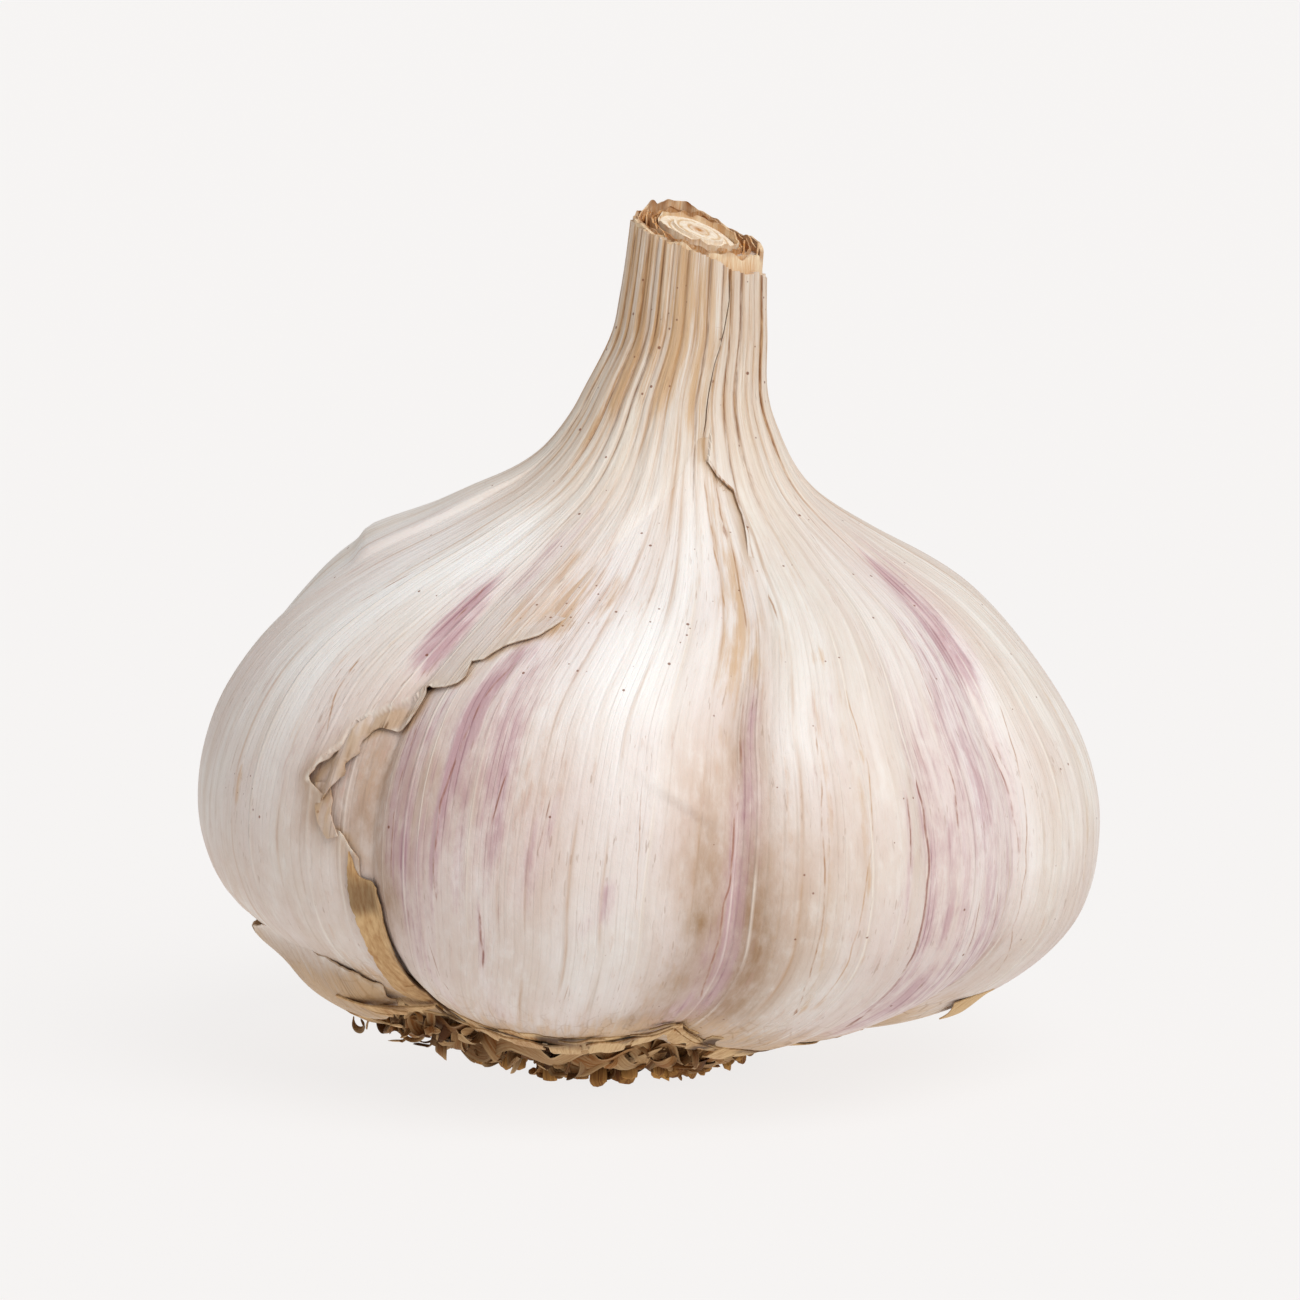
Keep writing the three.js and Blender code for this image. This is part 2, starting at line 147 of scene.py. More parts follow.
def noise(u, v, around, along, seed):
    """Smooth noise, 0 to 1: `around` cells over a full turn of u degrees, `along` cells over v."""
    grid = np.random.default_rng(seed).random((around, along + 3))
    x = np.asarray(u, float) / 360 * around
    y = np.clip(np.asarray(v, float), 0, 1) * along
    i, j = np.floor(x).astype(int), np.floor(y).astype(int)
    fx, fy = smooth(x - i, 0, 1), smooth(y - j, 0, 1)
    i0, i1 = i % around, (i + 1) % around
    low = mix(grid[i0, j], grid[i1, j], fx)
    high = mix(grid[i0, j + 1], grid[i1, j + 1], fx)
    return mix(low, high, fy)


# Lengths in millimetres of the waves in which an edge is torn.
EDGE_WAVES = (9.0, 2.6, 0.9)
TEAR_WAVES = (1.6, 0.7, 0.3)
TIP_WAVES = (1.4, 0.6, 0.3)
SHRED_WAVES = (1.2, 0.5, 0.25)
WRAPPER_WAVES = (2.2, 0.9, 0.4)
SCALE_WAVES = (1.6, 0.7, 0.35)


def ragged(points, step, size, seed, rough=EDGE_WAVES):
    """Resamples a line in the flat plane at a step and tears it sideways by up to about size."""
    points = np.asarray(points, float)
    lengths = np.hypot(*np.diff(points, axis=0).T)
    reach = np.concatenate([[0], np.cumsum(lengths)])
    at = np.linspace(0, reach[-1], max(2, int(round(reach[-1] / step)) + 1))
    line = np.stack([np.interp(at, reach, points[:, k]) for k in (0, 1)], 1)
    along = np.gradient(line, axis=0)
    along /= np.maximum(np.hypot(*along.T), 1e-9)[:, None]
    draw = np.random.default_rng(seed)
    side = np.zeros(len(at))
    for wave in rough:
        knots = draw.uniform(-1, 1, int(reach[-1] / wave) + 4)
        side += np.interp(at / wave, np.arange(len(knots)), knots) * wave ** 0.5
    side *= size / sum(wave ** 0.5 for wave in rough)
    ends = smooth(at, 0, 1.5) * smooth(reach[-1] - at, 0, 1.5)
    return line + (side * ends)[:, None] * np.stack([along[:, 1], -along[:, 0]], 1)


# ---- Surface of the bulb ----

def spline(t):
    """Radius and height of the outline, and its unit direction, at shares t."""
    p = np.clip(np.asarray(t, float), 0, 1) * (len(PROFILE) - 1)
    i = np.minimum(p.astype(int), len(PROFILE) - 2)
    w = (p - i)[..., None]
    p0, p1 = PROFILE[np.maximum(i - 1, 0)], PROFILE[i]
    p2, p3 = PROFILE[i + 1], PROFILE[np.minimum(i + 2, len(PROFILE) - 1)]
    v0, v1 = (p2 - p0) / 2, (p3 - p1) / 2
    a, b = 2 * p1 - 2 * p2 + v0 + v1, 3 * p2 - 3 * p1 - 2 * v0 - v1
    at = ((a * w + b) * w + v0) * w + p1
    along = (3 * a * w + 2 * b) * w + v0
    along = along / np.linalg.norm(along, axis=-1, keepdims=True)
    return at[..., 0], at[..., 1], along


def clove_relief(column):
    """How far the skin sinks between the cloves, as a negative lift."""
    column = np.asarray(column, float) % 360
    i = (np.searchsorted(GROOVES[:, 0], column, side="right") - 1) % len(GROOVES)
    j = (i + 1) % len(GROOVES)
    start, end = GROOVES[i, 0], GROOVES[j, 0]
    share = ((column - start) % 360) / ((end - start) % 360)
    across = 2 * share - 1
    bulge = (1 - CLOVE_ROUNDNESS * across * across) ** CLOVE_POWER
    azimuth, depth, width = FOLD
    fold = depth * bell(turn(azimuth, column), 0, width)
    return mix(GROOVES[i, 1], GROOVES[j, 1], share) * (bulge - 1) - fold


def place(azimuth, radius, z, offset=0.0):
    """Points given by azimuth, radius and height, on the curved, leaning axis."""
    angle = np.radians(azimuth)
    z = np.asarray(z, float)
    shift = AXIS_X + AXIS_BASE[0] * (1 - smooth(z, *AXIS_BASE[1:]))
    shift = shift + AXIS_WAIST[0] * bell(z, *AXIS_WAIST[1:]) + AXIS_NECK[0] * smooth(z, *AXIS_NECK[1:])
    x = radius * np.sin(angle) + shift + offset
    y = -radius * np.cos(angle) * DEPTH_RATIO
    lean, up = math.radians(LEAN_DEG), z - BELLY_Z
    x, y, up = np.broadcast_arrays(x, y, up)
    return np.stack([
        x * math.cos(lean) + up * math.sin(lean), y,
        -x * math.sin(lean) + up * math.cos(lean) + BELLY_Z,
    ], -1)


def body_point(column, t, lift):
    """Points on the bulb: column azimuth, share of the outline, lift off the outer skin."""
    r, z, along = spline(t)
    fade = np.where(z > BELLY_Z, 1 - smooth(z, *RELIEF_TOP_Z), smooth(r, *RELIEF_BASE_R))
    swell = sum(
        size * bell(turn(azimuth, column), 0, width) * bell(z, height, spread)
        for azimuth, height, size, width, spread in SWELLS
    )
    swell = swell * np.where(z > BELLY_Z, 1, smooth(r, *SWELL_FADE_R))
    out = clove_relief(column) * fade + swell + lift
    azimuth = column + TWIST_DEG * smooth(t, *TWIST_RANGE)
    return place(azimuth, r + out * along[..., 1], z - out * along[..., 0])


def cut_height(points, cut, seed=3):
    """Height of a slanted, slightly ragged knife cut over points."""
    height, fall, rise, rag = cut
    x, y = points[..., 0] - NECK_AXIS_X, points[..., 1]
    angle = np.degrees(np.arctan2(y, x))
    teeth = noise(angle, 0.5, 23, 1, seed) - 0.5 + 0.5 * (noise(angle, 0.5, 61, 1, seed + 1) - 0.5)
    return height - fall * x + rise * y + 2 * rag * teeth


# ---- Fibres of the skin ----

def drift(column, t):
    """Columns that wander a little, as leaf fibres do."""
    return column + 2.4 * (noise(column, t, 11, 5, 21) - 0.5) + 0.5 * (noise(column, t, 48, 9, 22) - 0.5)


def along_fibres(column, t):
    """Columns moved so that a line of them follows one fibre up the leaf."""
    moved = column - (drift(column, t) - column)
    return moved + column - drift(moved, t)


def neck_share(t):
    """0 over the cloves, 1 in the neck."""
    return smooth(t, 0.66, 0.86)


def leaf_lines(count, seed):
    """Columns of irregularly spaced veins, from 0 to 360."""
    steps = np.random.default_rng(seed).uniform(0.5, 1.5, count)
    return np.concatenate([[0], np.cumsum(steps)]) * 360 / steps.sum()


VEIN_COUNT = 84  # two veins to a rib of the neck
THREAD_COUNT = 288
VEINS = leaf_lines(VEIN_COUNT, 41)
THREADS = leaf_lines(THREAD_COUNT, 42)
RIB_STEPS = np.random.default_rng(43).uniform(-1, 1, VEIN_COUNT // 2)
VALLEY_DEPTHS = np.random.default_rng(44).uniform(0.15, 1.3, VEIN_COUNT // 2)


def vein_phase(wander, lines):
    """Counts the veins round the bulb: a whole number on each."""
    turns = np.floor(wander / 360)
    return np.interp(wander - 360 * turns, lines, np.arange(len(lines))) + turns * (len(lines) - 1)


def line_gap(phase, count, r):
    """Distance in millimetres to the nearest of count lines round a radius."""
    return np.abs(phase - np.round(phase)) * 2 * math.pi * r / count


def neck_crease(wander, t):
    """Thin dry creases that run up the neck, fork and fade."""
    ridge = np.abs(noise(wander, t, 70, 5, 58) - 0.5)
    return bell(ridge, 0, 0.055) * smooth(noise(wander, t, 50, 9, 59), 0.35, 0.6)


def fibre_lift(column, t):
    """Relief of the skin itself: broad folds, veins and the ribs of the neck."""
    wander = drift(column, t)
    r = spline(t)[0]
    neck = neck_share(t)
    base = smooth(t, 0.16, 0.3)
    broad = noise(wander, t, 30, 3, 51) - 0.5
    middle = noise(wander, t, 92, 5, 52) - 0.5
    crumple = noise(column, t, 40, 30, 54) - 0.5
    vein = bell(line_gap(vein_phase(wander, VEINS), VEIN_COUNT, r), 0, 0.3)
    body = 0.24 * broad + 0.05 * middle + 0.05 * crumple + 0.05 * vein * noise(wander, t, 40, 6, 55)
    phase = vein_phase(wander, VEINS) / 2
    valley = bell(line_gap(phase, VEIN_COUNT / 2, r), 0, 0.13)
    valley = valley * VALLEY_DEPTHS[np.round(phase).astype(int) % (VEIN_COUNT // 2)]
    valley = valley * mix(0.3, 1.4, noise(wander, t, 84, 16, 56))
    # Each rib of the neck has a rounded crown between two valleys, and a height of its own.
    crown = np.abs(np.sin(np.pi * phase)) ** 0.45
    wrinkle = noise(wander, t, 70, 26, 57) - 0.5
    own = RIB_STEPS[np.floor(phase).astype(int) % (VEIN_COUNT // 2)] * smooth(crown, 0, 0.6)
    rib = (crown - 0.7) * 0.06 + own * 0.11 - 0.12 * valley + 0.06 * middle + 0.1 * wrinkle
    rib = rib - 0.1 * neck_crease(wander, t)
    relief = body * (1 - 0.8 * neck) * mix(0.5, 1, base) + rib * neck
    return settings().vein_height * relief


# ---- Markings, painted highlights and painted shade, each placed by columns and shares ----

# Mauve streaks: start column, start share, end column, end share, half width in degrees, strength.
OUTER_MAUVE = [
    (-43.6, 0.672, -39.9, 0.588, 3.2, 1), (-41, 0.66, -38.6, 0.6, 1.6, 0.8),
    (-37.5, 0.715, -36, 0.66, 2.4, 0.7), (-34, 0.75, -35.5, 0.7, 2.4, 0.5), (57, 0.7, 58.8, 0.6, 3.2, 1),
    (55, 0.69, 56, 0.6, 3, 1), (61.5, 0.72, 62, 0.62, 4.5, 0.3), (70, 0.77, 66, 0.66, 6, 0.28),
    (52, 0.7, 50, 0.58, 2, 0.35), (47, 0.66, 45.5, 0.55, 1.2, 0.42), (47, 0.63, 46.5, 0.25, 9, 0.55),
    (55.5, 0.6, 54, 0.26, 4.5, 0.45), (38.3, 0.6, 38, 0.25, 1.6, 0.6), (37, 0.52, 37.4, 0.33, 0.7, 0.95),
    (42.5, 0.54, 41.4, 0.38, 1.1, 0.5), (47.4, 0.5, 49, 0.34, 1.2, 0.6), (52, 0.42, 57, 0.26, 2.4, 0.55),
    (33.5, 0.52, 33, 0.4, 0.8, 0.45), (41, 0.34, 40, 0.22, 3.5, 0.55), (30, 0.42, 31, 0.22, 5, 0.12),
    (24, 0.6, 23, 0.5, 3.5, 0.18), (-96, 0.44, -100, 0.3, 2, 0.25), (120, 0.62, 118, 0.34, 6, 0.35),
    (128, 0.56, 127, 0.4, 1, 0.6), (166, 0.64, 168, 0.3, 8, 0.38), (171, 0.58, 172, 0.36, 1.2, 0.7),
    (205, 0.66, 207, 0.4, 6, 0.3), (243, 0.6, 240, 0.34, 7, 0.22),
]
INNER_MAUVE = [
    (-24.5, 0.62, -26.8, 0.53, 2, 0.7), (-26, 0.56, -27.8, 0.42, 1.3, 0.75),
    (-26.8, 0.53, -27.6, 0.46, 0.9, 0.45), (-23.7, 0.62, -25.4, 0.57, 1.3, 0.65),
    (-29.5, 0.6, -31.5, 0.54, 1.6, 0.45), (-35.8, 0.53, -35, 0.42, 0.7, 0.6),
    (-33, 0.5, -32.2, 0.4, 1.3, 0.3), (-19.8, 0.56, -20, 0.45, 0.8, 0.55),
    (-20.5, 0.47, -20.3, 0.4, 0.6, 0.35), (-11.7, 0.5, -13.3, 0.43, 0.9, 0.4),
    (-14.3, 0.48, -14.9, 0.44, 0.6, 0.35), (-24.5, 0.62, -25, 0.4, 8.5, 0.5),
    (-35.5, 0.57, -34, 0.4, 4.5, 0.6), (-19.5, 0.56, -19.5, 0.44, 1.4, 0.6),
    (-31, 0.47, -30, 0.3, 4, 0.45), (-14, 0.5, -14.5, 0.4, 2, 0.4),
    (-21.2, 0.4, -20.4, 0.325, 0.55, 0.85), (-31.4, 0.36, -26.5, 0.25, 0.8, 0.45),
    (-19.5, 0.32, -17, 0.25, 1.6, 0.3), (-4.8, 0.435, -5.2, 0.395, 1.5, 0.55),
    (-6.5, 0.4, -8, 0.38, 1.1, 0.3), (12.6, 0.6, 12.2, 0.5, 1.6, 0.75),
    (11.8, 0.52, 11.2, 0.36, 2.4, 0.75), (10.8, 0.38, 11, 0.24, 3.4, 0.7), (8.2, 0.3, 9.5, 0.2, 4, 0.45),
]
# Tan and brown stains in the same terms.
OUTER_TAN = [
    (-32, 0.7, -29, 0.63, 7, 0.36), (-10.5, 0.99, -10.5, 0.87, 5, 0.45),
    (-31, 0.655, -28, 0.615, 2.4, 0.75), (-29, 0.71, -26, 0.64, 3, 0.65),
    (-47, 0.64, -49, 0.53, 0.6, 0.55), (-52.5, 0.6, -54, 0.5, 0.4, 0.55), (-66, 0.6, -68, 0.52, 0.5, 0.4),
    (-62.5, 0.475, -62.5, 0.44, 0.45, 0.8), (-59.5, 0.47, -59, 0.435, 0.35, 0.7),
    (-57, 0.42, -55, 0.3, 0.5, 0.4), (-70, 0.36, -66, 0.28, 0.6, 0.5), (-64, 0.34, -58, 0.26, 0.5, 0.6),
    (-52, 0.34, -50, 0.22, 2.5, 0.25), (-88, 0.5, -86, 0.36, 1.2, 0.25), (27, 0.62, 28, 0.3, 0.8, 0.55),
    (28.4, 0.553, 28.3, 0.538, 1, 1), (22.8, 0.6, 22.2, 0.4, 0.45, 0.6),
    (22.4, 0.4, 24.6, 0.3, 0.5, 0.75), (24.2, 0.315, 24.8, 0.302, 0.6, 1),
    (26.5, 0.37, 26.5, 0.3, 0.6, 0.5), (24.2, 0.63, 24.4, 0.615, 1.4, 0.7),
    (17.5, 0.56, 17, 0.33, 1, 0.35), (63.8, 0.52, 62, 0.4, 0.4, 0.6), (68, 0.6, 66, 0.34, 0.5, 0.5),
    (76, 0.62, 74, 0.36, 1, 0.45), (83, 0.68, 82, 0.48, 2.5, 0.4), (57.5, 0.36, 60, 0.24, 1.6, 0.45),
    (16.5, 0.76, 13, 0.63, 2, 0.55), (21, 0.74, 17.5, 0.6, 1.2, 0.45), (27, 0.76, 24.5, 0.64, 0.8, 0.4),
    (140, 0.6, 141, 0.34, 0.7, 0.6), (158, 0.62, 157, 0.42, 0.5, 0.6), (190, 0.6, 189, 0.3, 1.5, 0.4),
    (221, 0.64, 223, 0.4, 0.6, 0.6), (254, 0.62, 252, 0.36, 0.8, 0.5), (276, 0.6, 275, 0.44, 0.6, 0.5),
]
INNER_TAN = [
    (-32, 0.7, -29, 0.63, 7, 0.36), (-42, 0.53, -42, 0.47, 3, 0.3), (9, 0.8, 9.5, 0.6, 5, 0.55),
    (13.5, 0.72, 13, 0.6, 2, 0.4), (10, 0.7, 9.5, 0.6, 0.7, 0.7), (5.5, 0.78, 6.5, 0.62, 0.6, 0.5),
    (12, 0.76, 11.4, 0.6, 0.9, 0.6), (8, 0.64, 9, 0.54, 2, 0.3), (-24, 0.7, -22, 0.625, 4, 0.85),
    (-17, 0.69, -15, 0.64, 3, 0.7), (-11, 0.7, -10, 0.66, 2, 0.35), (-0.5, 0.54, -0.5, 0.38, 0.5, 0.35),
    (-8, 0.56, -8.6, 0.4, 0.45, 0.3), (-38, 0.52, -37.5, 0.42, 3, 0.4), (7, 0.36, 8, 0.25, 5, 0.35),
]
# Where brown specks gather: column, share, radius in millimetres, how thick.
SPECKS = [
    (-24, 0.648, 2.2, 1), (-18.5, 0.66, 2, 1), (-27.5, 0.636, 1.5, 0.9), (-13, 0.665, 1.4, 0.6),
    (-2.5, 0.635, 1.8, 0.5), (-5, 0.605, 1.2, 0.7), (0.5, 0.65, 1.2, 0.6), (24.6, 0.622, 0.9, 1),
    (25.2, 0.612, 0.7, 1), (-4, 0.352, 0.9, 0.6), (34.3, 0.512, 0.8, 1), (70.5, 0.508, 1.3, 0.9),
    (28.3, 0.545, 0.7, 0.9), (-46, 0.6, 2, 0.3), (-62, 0.455, 1.5, 0.9), (-58, 0.44, 1.2, 0.8),
    (-41.8, 0.33, 0.6, 1), (-42, 0.4, 0.7, 1), (-41.8, 0.365, 0.5, 1), (4, 0.25, 2.5, 0.7),
    (12, 0.24, 3, 0.8),
]


def streak_sum(marks, column, t):
    """Strongest of the streaks at each point, with soft, frayed ends and sides."""
    frayed = drift(column, t) + 0.9 * (noise(column, t, 150, 10, 61) - 0.5)
    grain = 0.6 + 0.8 * (noise(column, t, 300, 7, 62) - 0.2)
    grain = grain * mix(0.82, 1.12, noise(column, t, 200, 30, 63))
    total = np.zeros(np.shape(column))
    for start, start_t, end, end_t, width, strength in marks:
        low, high = sorted((start_t, end_t))
        along = np.clip((t - start_t) / (end_t - start_t), 0, 1)
        across = turn(mix(start, end, along), frayed)
        reach = 0.22 * (high - low)
        ends = smooth(t, low - reach, low + reach) * (1 - smooth(t, high - reach, high + reach))
        total = 1 - (1 - total) * (1 - strength * bell(across, 0, width) * ends)
    return np.clip(total * grain, 0, 1)


# Painted highlights with a few paler patches, and patches of painted shade: column, share, half width in
# degrees, half height in share, strength.
HIGHLIGHTS_AND_PALE_PATCHES = [
    (-82, 0.7, 12, 0.04, 0.8), (19, 0.545, 4, 0.05, 0.5), (-6, 0.605, 10, 0.05, 0.9),
    (-5, 0.5, 4, 0.05, 0.5), (-6, 0.36, 6, 0.09, 0.5), (-6, 0.73, 18, 0.06, 0.9),
    (-8, 0.66, 7, 0.04, 0.8), (-52, 0.7, 14, 0.045, 1), (-60, 0.64, 14, 0.05, 0.9),
    (-62, 0.56, 14, 0.07, 0.4), (23, 0.61, 5, 0.05, 0.3), (27, 0.33, 4, 0.05, 0.15),
    (31, 0.53, 4, 0.07, 0.15), (49, 0.62, 5, 0.08, 0.6), (60, 0.55, 4, 0.12, 0.45),
    (128, 0.56, 14, 0.12, 0.7), (176, 0.6, 12, 0.1, 0.8), (205, 0.46, 10, 0.12, 0.5),
    (246, 0.6, 12, 0.1, 0.7), (-92, 0.6, 10, 0.12, 0.6),
]
SHADED = [
    (5.5, 0.54, 4, 0.05, 0.6), (29.5, 0.5, 4, 0.07, 0.8), (-71, 0.36, 8, 0.05, 1),
    (64.8, 0.49, 4, 0.1, 0.45), (-5, 0.34, 8, 0.05, 0.5), (63, 0.68, 8, 0.05, 0.5),
    (57.5, 0.53, 3, 0.06, 0.4), (-21.5, 0.49, 4, 0.06, 0.4), (-32, 0.45, 8, 0.13, 0.9),
    (-22, 0.5, 8, 0.07, 0.7), (-13, 0.44, 8, 0.09, 0.75), (14, 0.46, 6, 0.16, 0.9),
    (20, 0.42, 7, 0.09, 0.7), (8, 0.28, 6, 0.06, 0.9), (12.8, 0.42, 3, 0.13, 0.6),
    (13.5, 0.31, 5, 0.06, 0.9), (6, 0.47, 5, 0.08, 0.9), (-70, 0.33, 24, 0.07, 0.6),
    (-41, 0.5, 5, 0.09, 0.8), (10, 0.33, 7, 0.07, 0.9), (-85, 0.5, 14, 0.1, 0.5),
    (-49, 0.48, 5, 0.1, 0.7), (26, 0.47, 6, 0.07, 0.45), (38, 0.48, 4, 0.14, 0.35),
    (40, 0.3, 14, 0.06, 0.4), (100, 0.5, 6, 0.16, 0.7), (147, 0.48, 5, 0.16, 0.7),
    (160, 0.36, 12, 0.08, 0.5), (190, 0.5, 5, 0.16, 0.7), (226, 0.46, 6, 0.15, 0.7),
    (262, 0.46, 6, 0.14, 0.6),
]
DUST_AND_GROOVE_SHADE = [  # dust and dried juice, with painted shade, mostly down the grooves
    (12.5, 0.46, 2.6, 0.12, 0.65), (13, 0.36, 3.6, 0.07, 1), (13.5, 0.27, 4.5, 0.06, 1),
    (13, 0.57, 2, 0.06, 0.4), (7.5, 0.44, 3, 0.08, 0.42), (7, 0.398, 1.6, 0.016, 0.9),
    (8, 0.33, 4, 0.06, 0.85), (-24, 0.49, 5, 0.04, 0.45), (-33, 0.44, 4, 0.1, 0.55),
    (-38.5, 0.51, 3.5, 0.05, 0.85), (-41, 0.46, 3, 0.05, 0.85), (-36, 0.4, 3, 0.08, 0.5),
    (-47.5, 0.47, 3, 0.04, 0.7), (6, 0.25, 7, 0.035, 1), (24, 0.215, 8, 0.04, 0.9),
    (8.5, 0.28, 4, 0.05, 0.9), (-41.5, 0.505, 2.5, 0.03, 0.7), (-22, 0.21, 18, 0.035, 0.9),
    (-60, 0.25, 16, 0.05, 0.5), (57, 0.32, 3, 0.05, 0.35), (20, 0.4, 4, 0.1, 0.15),
    (36, 0.5, 2, 0.06, 0.35), (102, 0.36, 4, 0.12, 0.6), (147, 0.34, 4, 0.1, 0.5),
    (190, 0.36, 4, 0.12, 0.6), (226, 0.34, 4, 0.1, 0.5), (262, 0.34, 4, 0.1, 0.5),
]


def patch_sum(patches, column, t):
    """Soft patches with uneven borders."""
    total = np.zeros(np.shape(column))
    uneven = 0.55 + 0.9 * noise(column, t, 60, 16, 91)
    for at, share, width, height, strength in patches:
        spot = bell(turn(at, column), 0, width) * bell(t, share, height)
        total = 1 - (1 - total) * (1 - strength * spot)
    return np.clip(total * uneven, 0, 1)


# Single lines on the skin: points of column and share, half width in millimetres, and how purple.
# Lines of one list keep 1.7 mm apart.
# The slit's line is painted shade: a brown line where the tear gapes.
SLIT = [(17.5, 0.75), *TEAR_RIGHT[9:15], (13, 0.92)]
INK = [
    ([(17.7, 0.655), (17, 0.69), (16.6, 0.72), (17.5, 0.75)], 0.1, 0.1),
    (SLIT, 0.15, 0.2),
    ([(22.6, 0.575), (21.8, 0.508), (22.2, 0.418), (22.2, 0.359), (23.8, 0.31)], 0.09, 0.1),
    ([(23.6, 0.314), (24.3, 0.298)], 0.26, 0.5),
    ([(62.4, 0.586), (59.8, 0.522), (58.8, 0.453), (59, 0.372), (64, 0.31)], 0.08, 0.3),
    ([(43.5, 0.793), (40.9, 0.742)], 0.08, 0.4), ([(43.1, 0.738), (40.1, 0.711)], 0.08, 0.5),
    ([(24.5, 0.817), (29.1, 0.769)], 0.07, 0.3), ([(50.5, 0.77), (47.5, 0.715)], 0.07, 0.5),
    ([(-51.6, 0.586), (-50.5, 0.55), (-48.8, 0.52)], 0.12, 0), ([(34.2, 0.515), (34, 0.45)], 0.1, 1),
    ([(-62, 0.66), (-64, 0.62)], 0.09, 0.5), ([(-70, 0.6), (-71, 0.57)], 0.08, 0.2),
    ([(-66, 0.49), (-66.5, 0.46)], 0.08, 0.2), ([(98, 0.62), (96, 0.35)], 0.09, 0.2),
    ([(131, 0.64), (133, 0.4)], 0.09, 0.2), ([(163, 0.56), (162, 0.3)], 0.09, 0.4),
    ([(198, 0.64), (197, 0.44)], 0.09, 0.1), ([(233, 0.6), (235, 0.36)], 0.09, 0.3),
    ([(268, 0.62), (270, 0.42)], 0.09, 0.1),
]
TRACE = [
    ([(36.6, 0.525), (37.2, 0.46), (37.2, 0.416), (37.2, 0.364), (38, 0.306), (40, 0.252)], 0.15, 1),
    ([(55.2, 0.64), (55.8, 0.605), (57.4, 0.525), (57.6, 0.478), (57.9, 0.42)], 0.08, 1),
    ([(42.5, 0.535), (42.3, 0.48)], 0.11, 1), ([(46.5, 0.42), (47, 0.35), (49, 0.28)], 0.08, 0.9),
    ([(51, 0.43), (52.5, 0.36), (55, 0.285)], 0.08, 0.9), ([(44.5, 0.65), (43.8, 0.58)], 0.07, 0.9),
    ([(27.8, 0.6), (29, 0.538), (28.2, 0.473), (27, 0.401), (26.5, 0.315)], 0.08, 0),
    ([(-43.6, 0.665), (-42.2, 0.63)], 0.1, 1), ([(-41, 0.615), (-40.2, 0.585)], 0.1, 1),
    ([(118, 0.6), (117, 0.34)], 0.1, 1), ([(171, 0.58), (172, 0.36)], 0.12, 1),
    ([(207, 0.62), (208, 0.42)], 0.09, 1), ([(243, 0.58), (241, 0.36)], 0.09, 1),
]
INNER_INK = [
    (SLIT, 0.15, 0.2),
    ([(9.5, 0.785), (10.2, 0.735), (11.2, 0.678), (11.6, 0.65)], 0.1, 0.2),
    ([(10.1, 0.742), (10.3, 0.728)], 0.17, 0.6), ([(-19, 0.515), (-20, 0.465)], 0.09, 1),
    ([(-13, 0.5), (-13.8, 0.45)], 0.07, 0.9), ([(-1.6, 0.53), (-1.4, 0.4)], 0.06, 0.1),
    ([(-8, 0.4), (-8.6, 0.3)], 0.06, 0.2),
]
INNER_TRACE = [
    ([(4, 0.8), (4.4, 0.762), (5.3, 0.723), (7.1, 0.664)], 0.09, 0.1),
    ([(-25.2, 0.605), (-26.5, 0.544), (-27.5, 0.48), (-27.5, 0.434), (-27.2, 0.395)], 0.12, 1),
    ([(-35.7, 0.565), (-35, 0.492), (-34.8, 0.432), (-34.8, 0.4)], 0.09, 1),
    ([(12, 0.595), (11.8, 0.542), (11.4, 0.5)], 0.1, 0.9),
    ([(10.6, 0.5), (10.4, 0.44), (9.8, 0.404), (9.4, 0.34), (10.5, 0.29)], 0.11, 0.8),
    ([(-21, 0.395), (-20.4, 0.33)], 0.12, 1), ([(-29, 0.35), (-26.5, 0.27)], 0.07, 0.8),
]


LINE_FAR = 3.0  # millimetres from a line at which it no longer counts
LINE_REACH = 0.8  # millimetres from a line within which it has a width


def drawn(lines, column, t):
    """Signed distance to the nearest of the single lines, its half width there, and how purple it is."""
    r = spline(t)[0]
    far = np.full(np.shape(column), LINE_FAR)
    width, purple = np.zeros(np.shape(column)), np.zeros(np.shape(column))
    for k, (path, half, shade) in enumerate(lines):
        at, share = np.array(sorted(path, key=lambda p: p[1])).T
        wiggle = 0.22 * (noise(30.0 * k + 0 * t, t, 36, 60, 65) - 0.5)
        across = turn(np.interp(t, share, at), column) * np.radians(1) * r + wiggle
        shown = smooth(t, share[0] - 0.004, share[0] + 0.01)
        shown = shown * (1 - smooth(t, share[-1] - 0.01, share[-1] + 0.004))
        near = (np.abs(across) < np.abs(far)) & (shown > 0)
        far = np.where(near, across, far)
        width = np.where(near, np.where(np.abs(across) < LINE_REACH, half * shown, 0), width)
        purple = np.where(near, shade, purple)
    return np.stack([far, width, purple], -1)


def speck_sum(column, t):
    """How thick the brown specks lie: around the listed spots, on the shoulders and on the neck."""
    r = spline(t)[0]
    total = 0.02 + 0.05 * smooth(t, 0.56, 0.66) + 0.14 * smooth(t, 0.74, 0.84)
    for at, share, size, strength in SPECKS:
        du = turn(at, column) * np.radians(1) * r
        dv = (t - share) * MM_PER_SHARE
        total = np.maximum(total, strength * np.exp(-(du / size) ** 2 - (dv / size) ** 2))
    return total


# The neck browns towards the knife cut, most at its left, where the brown also stands in for shade, and
# in the ribs beside the slit: azimuth, width in degrees, strength.
NECK_BROWN = [(-52, 40, 0.95), (8, 12, 0.5), (150, 50, 0.35), (45, 20, 0.05)]


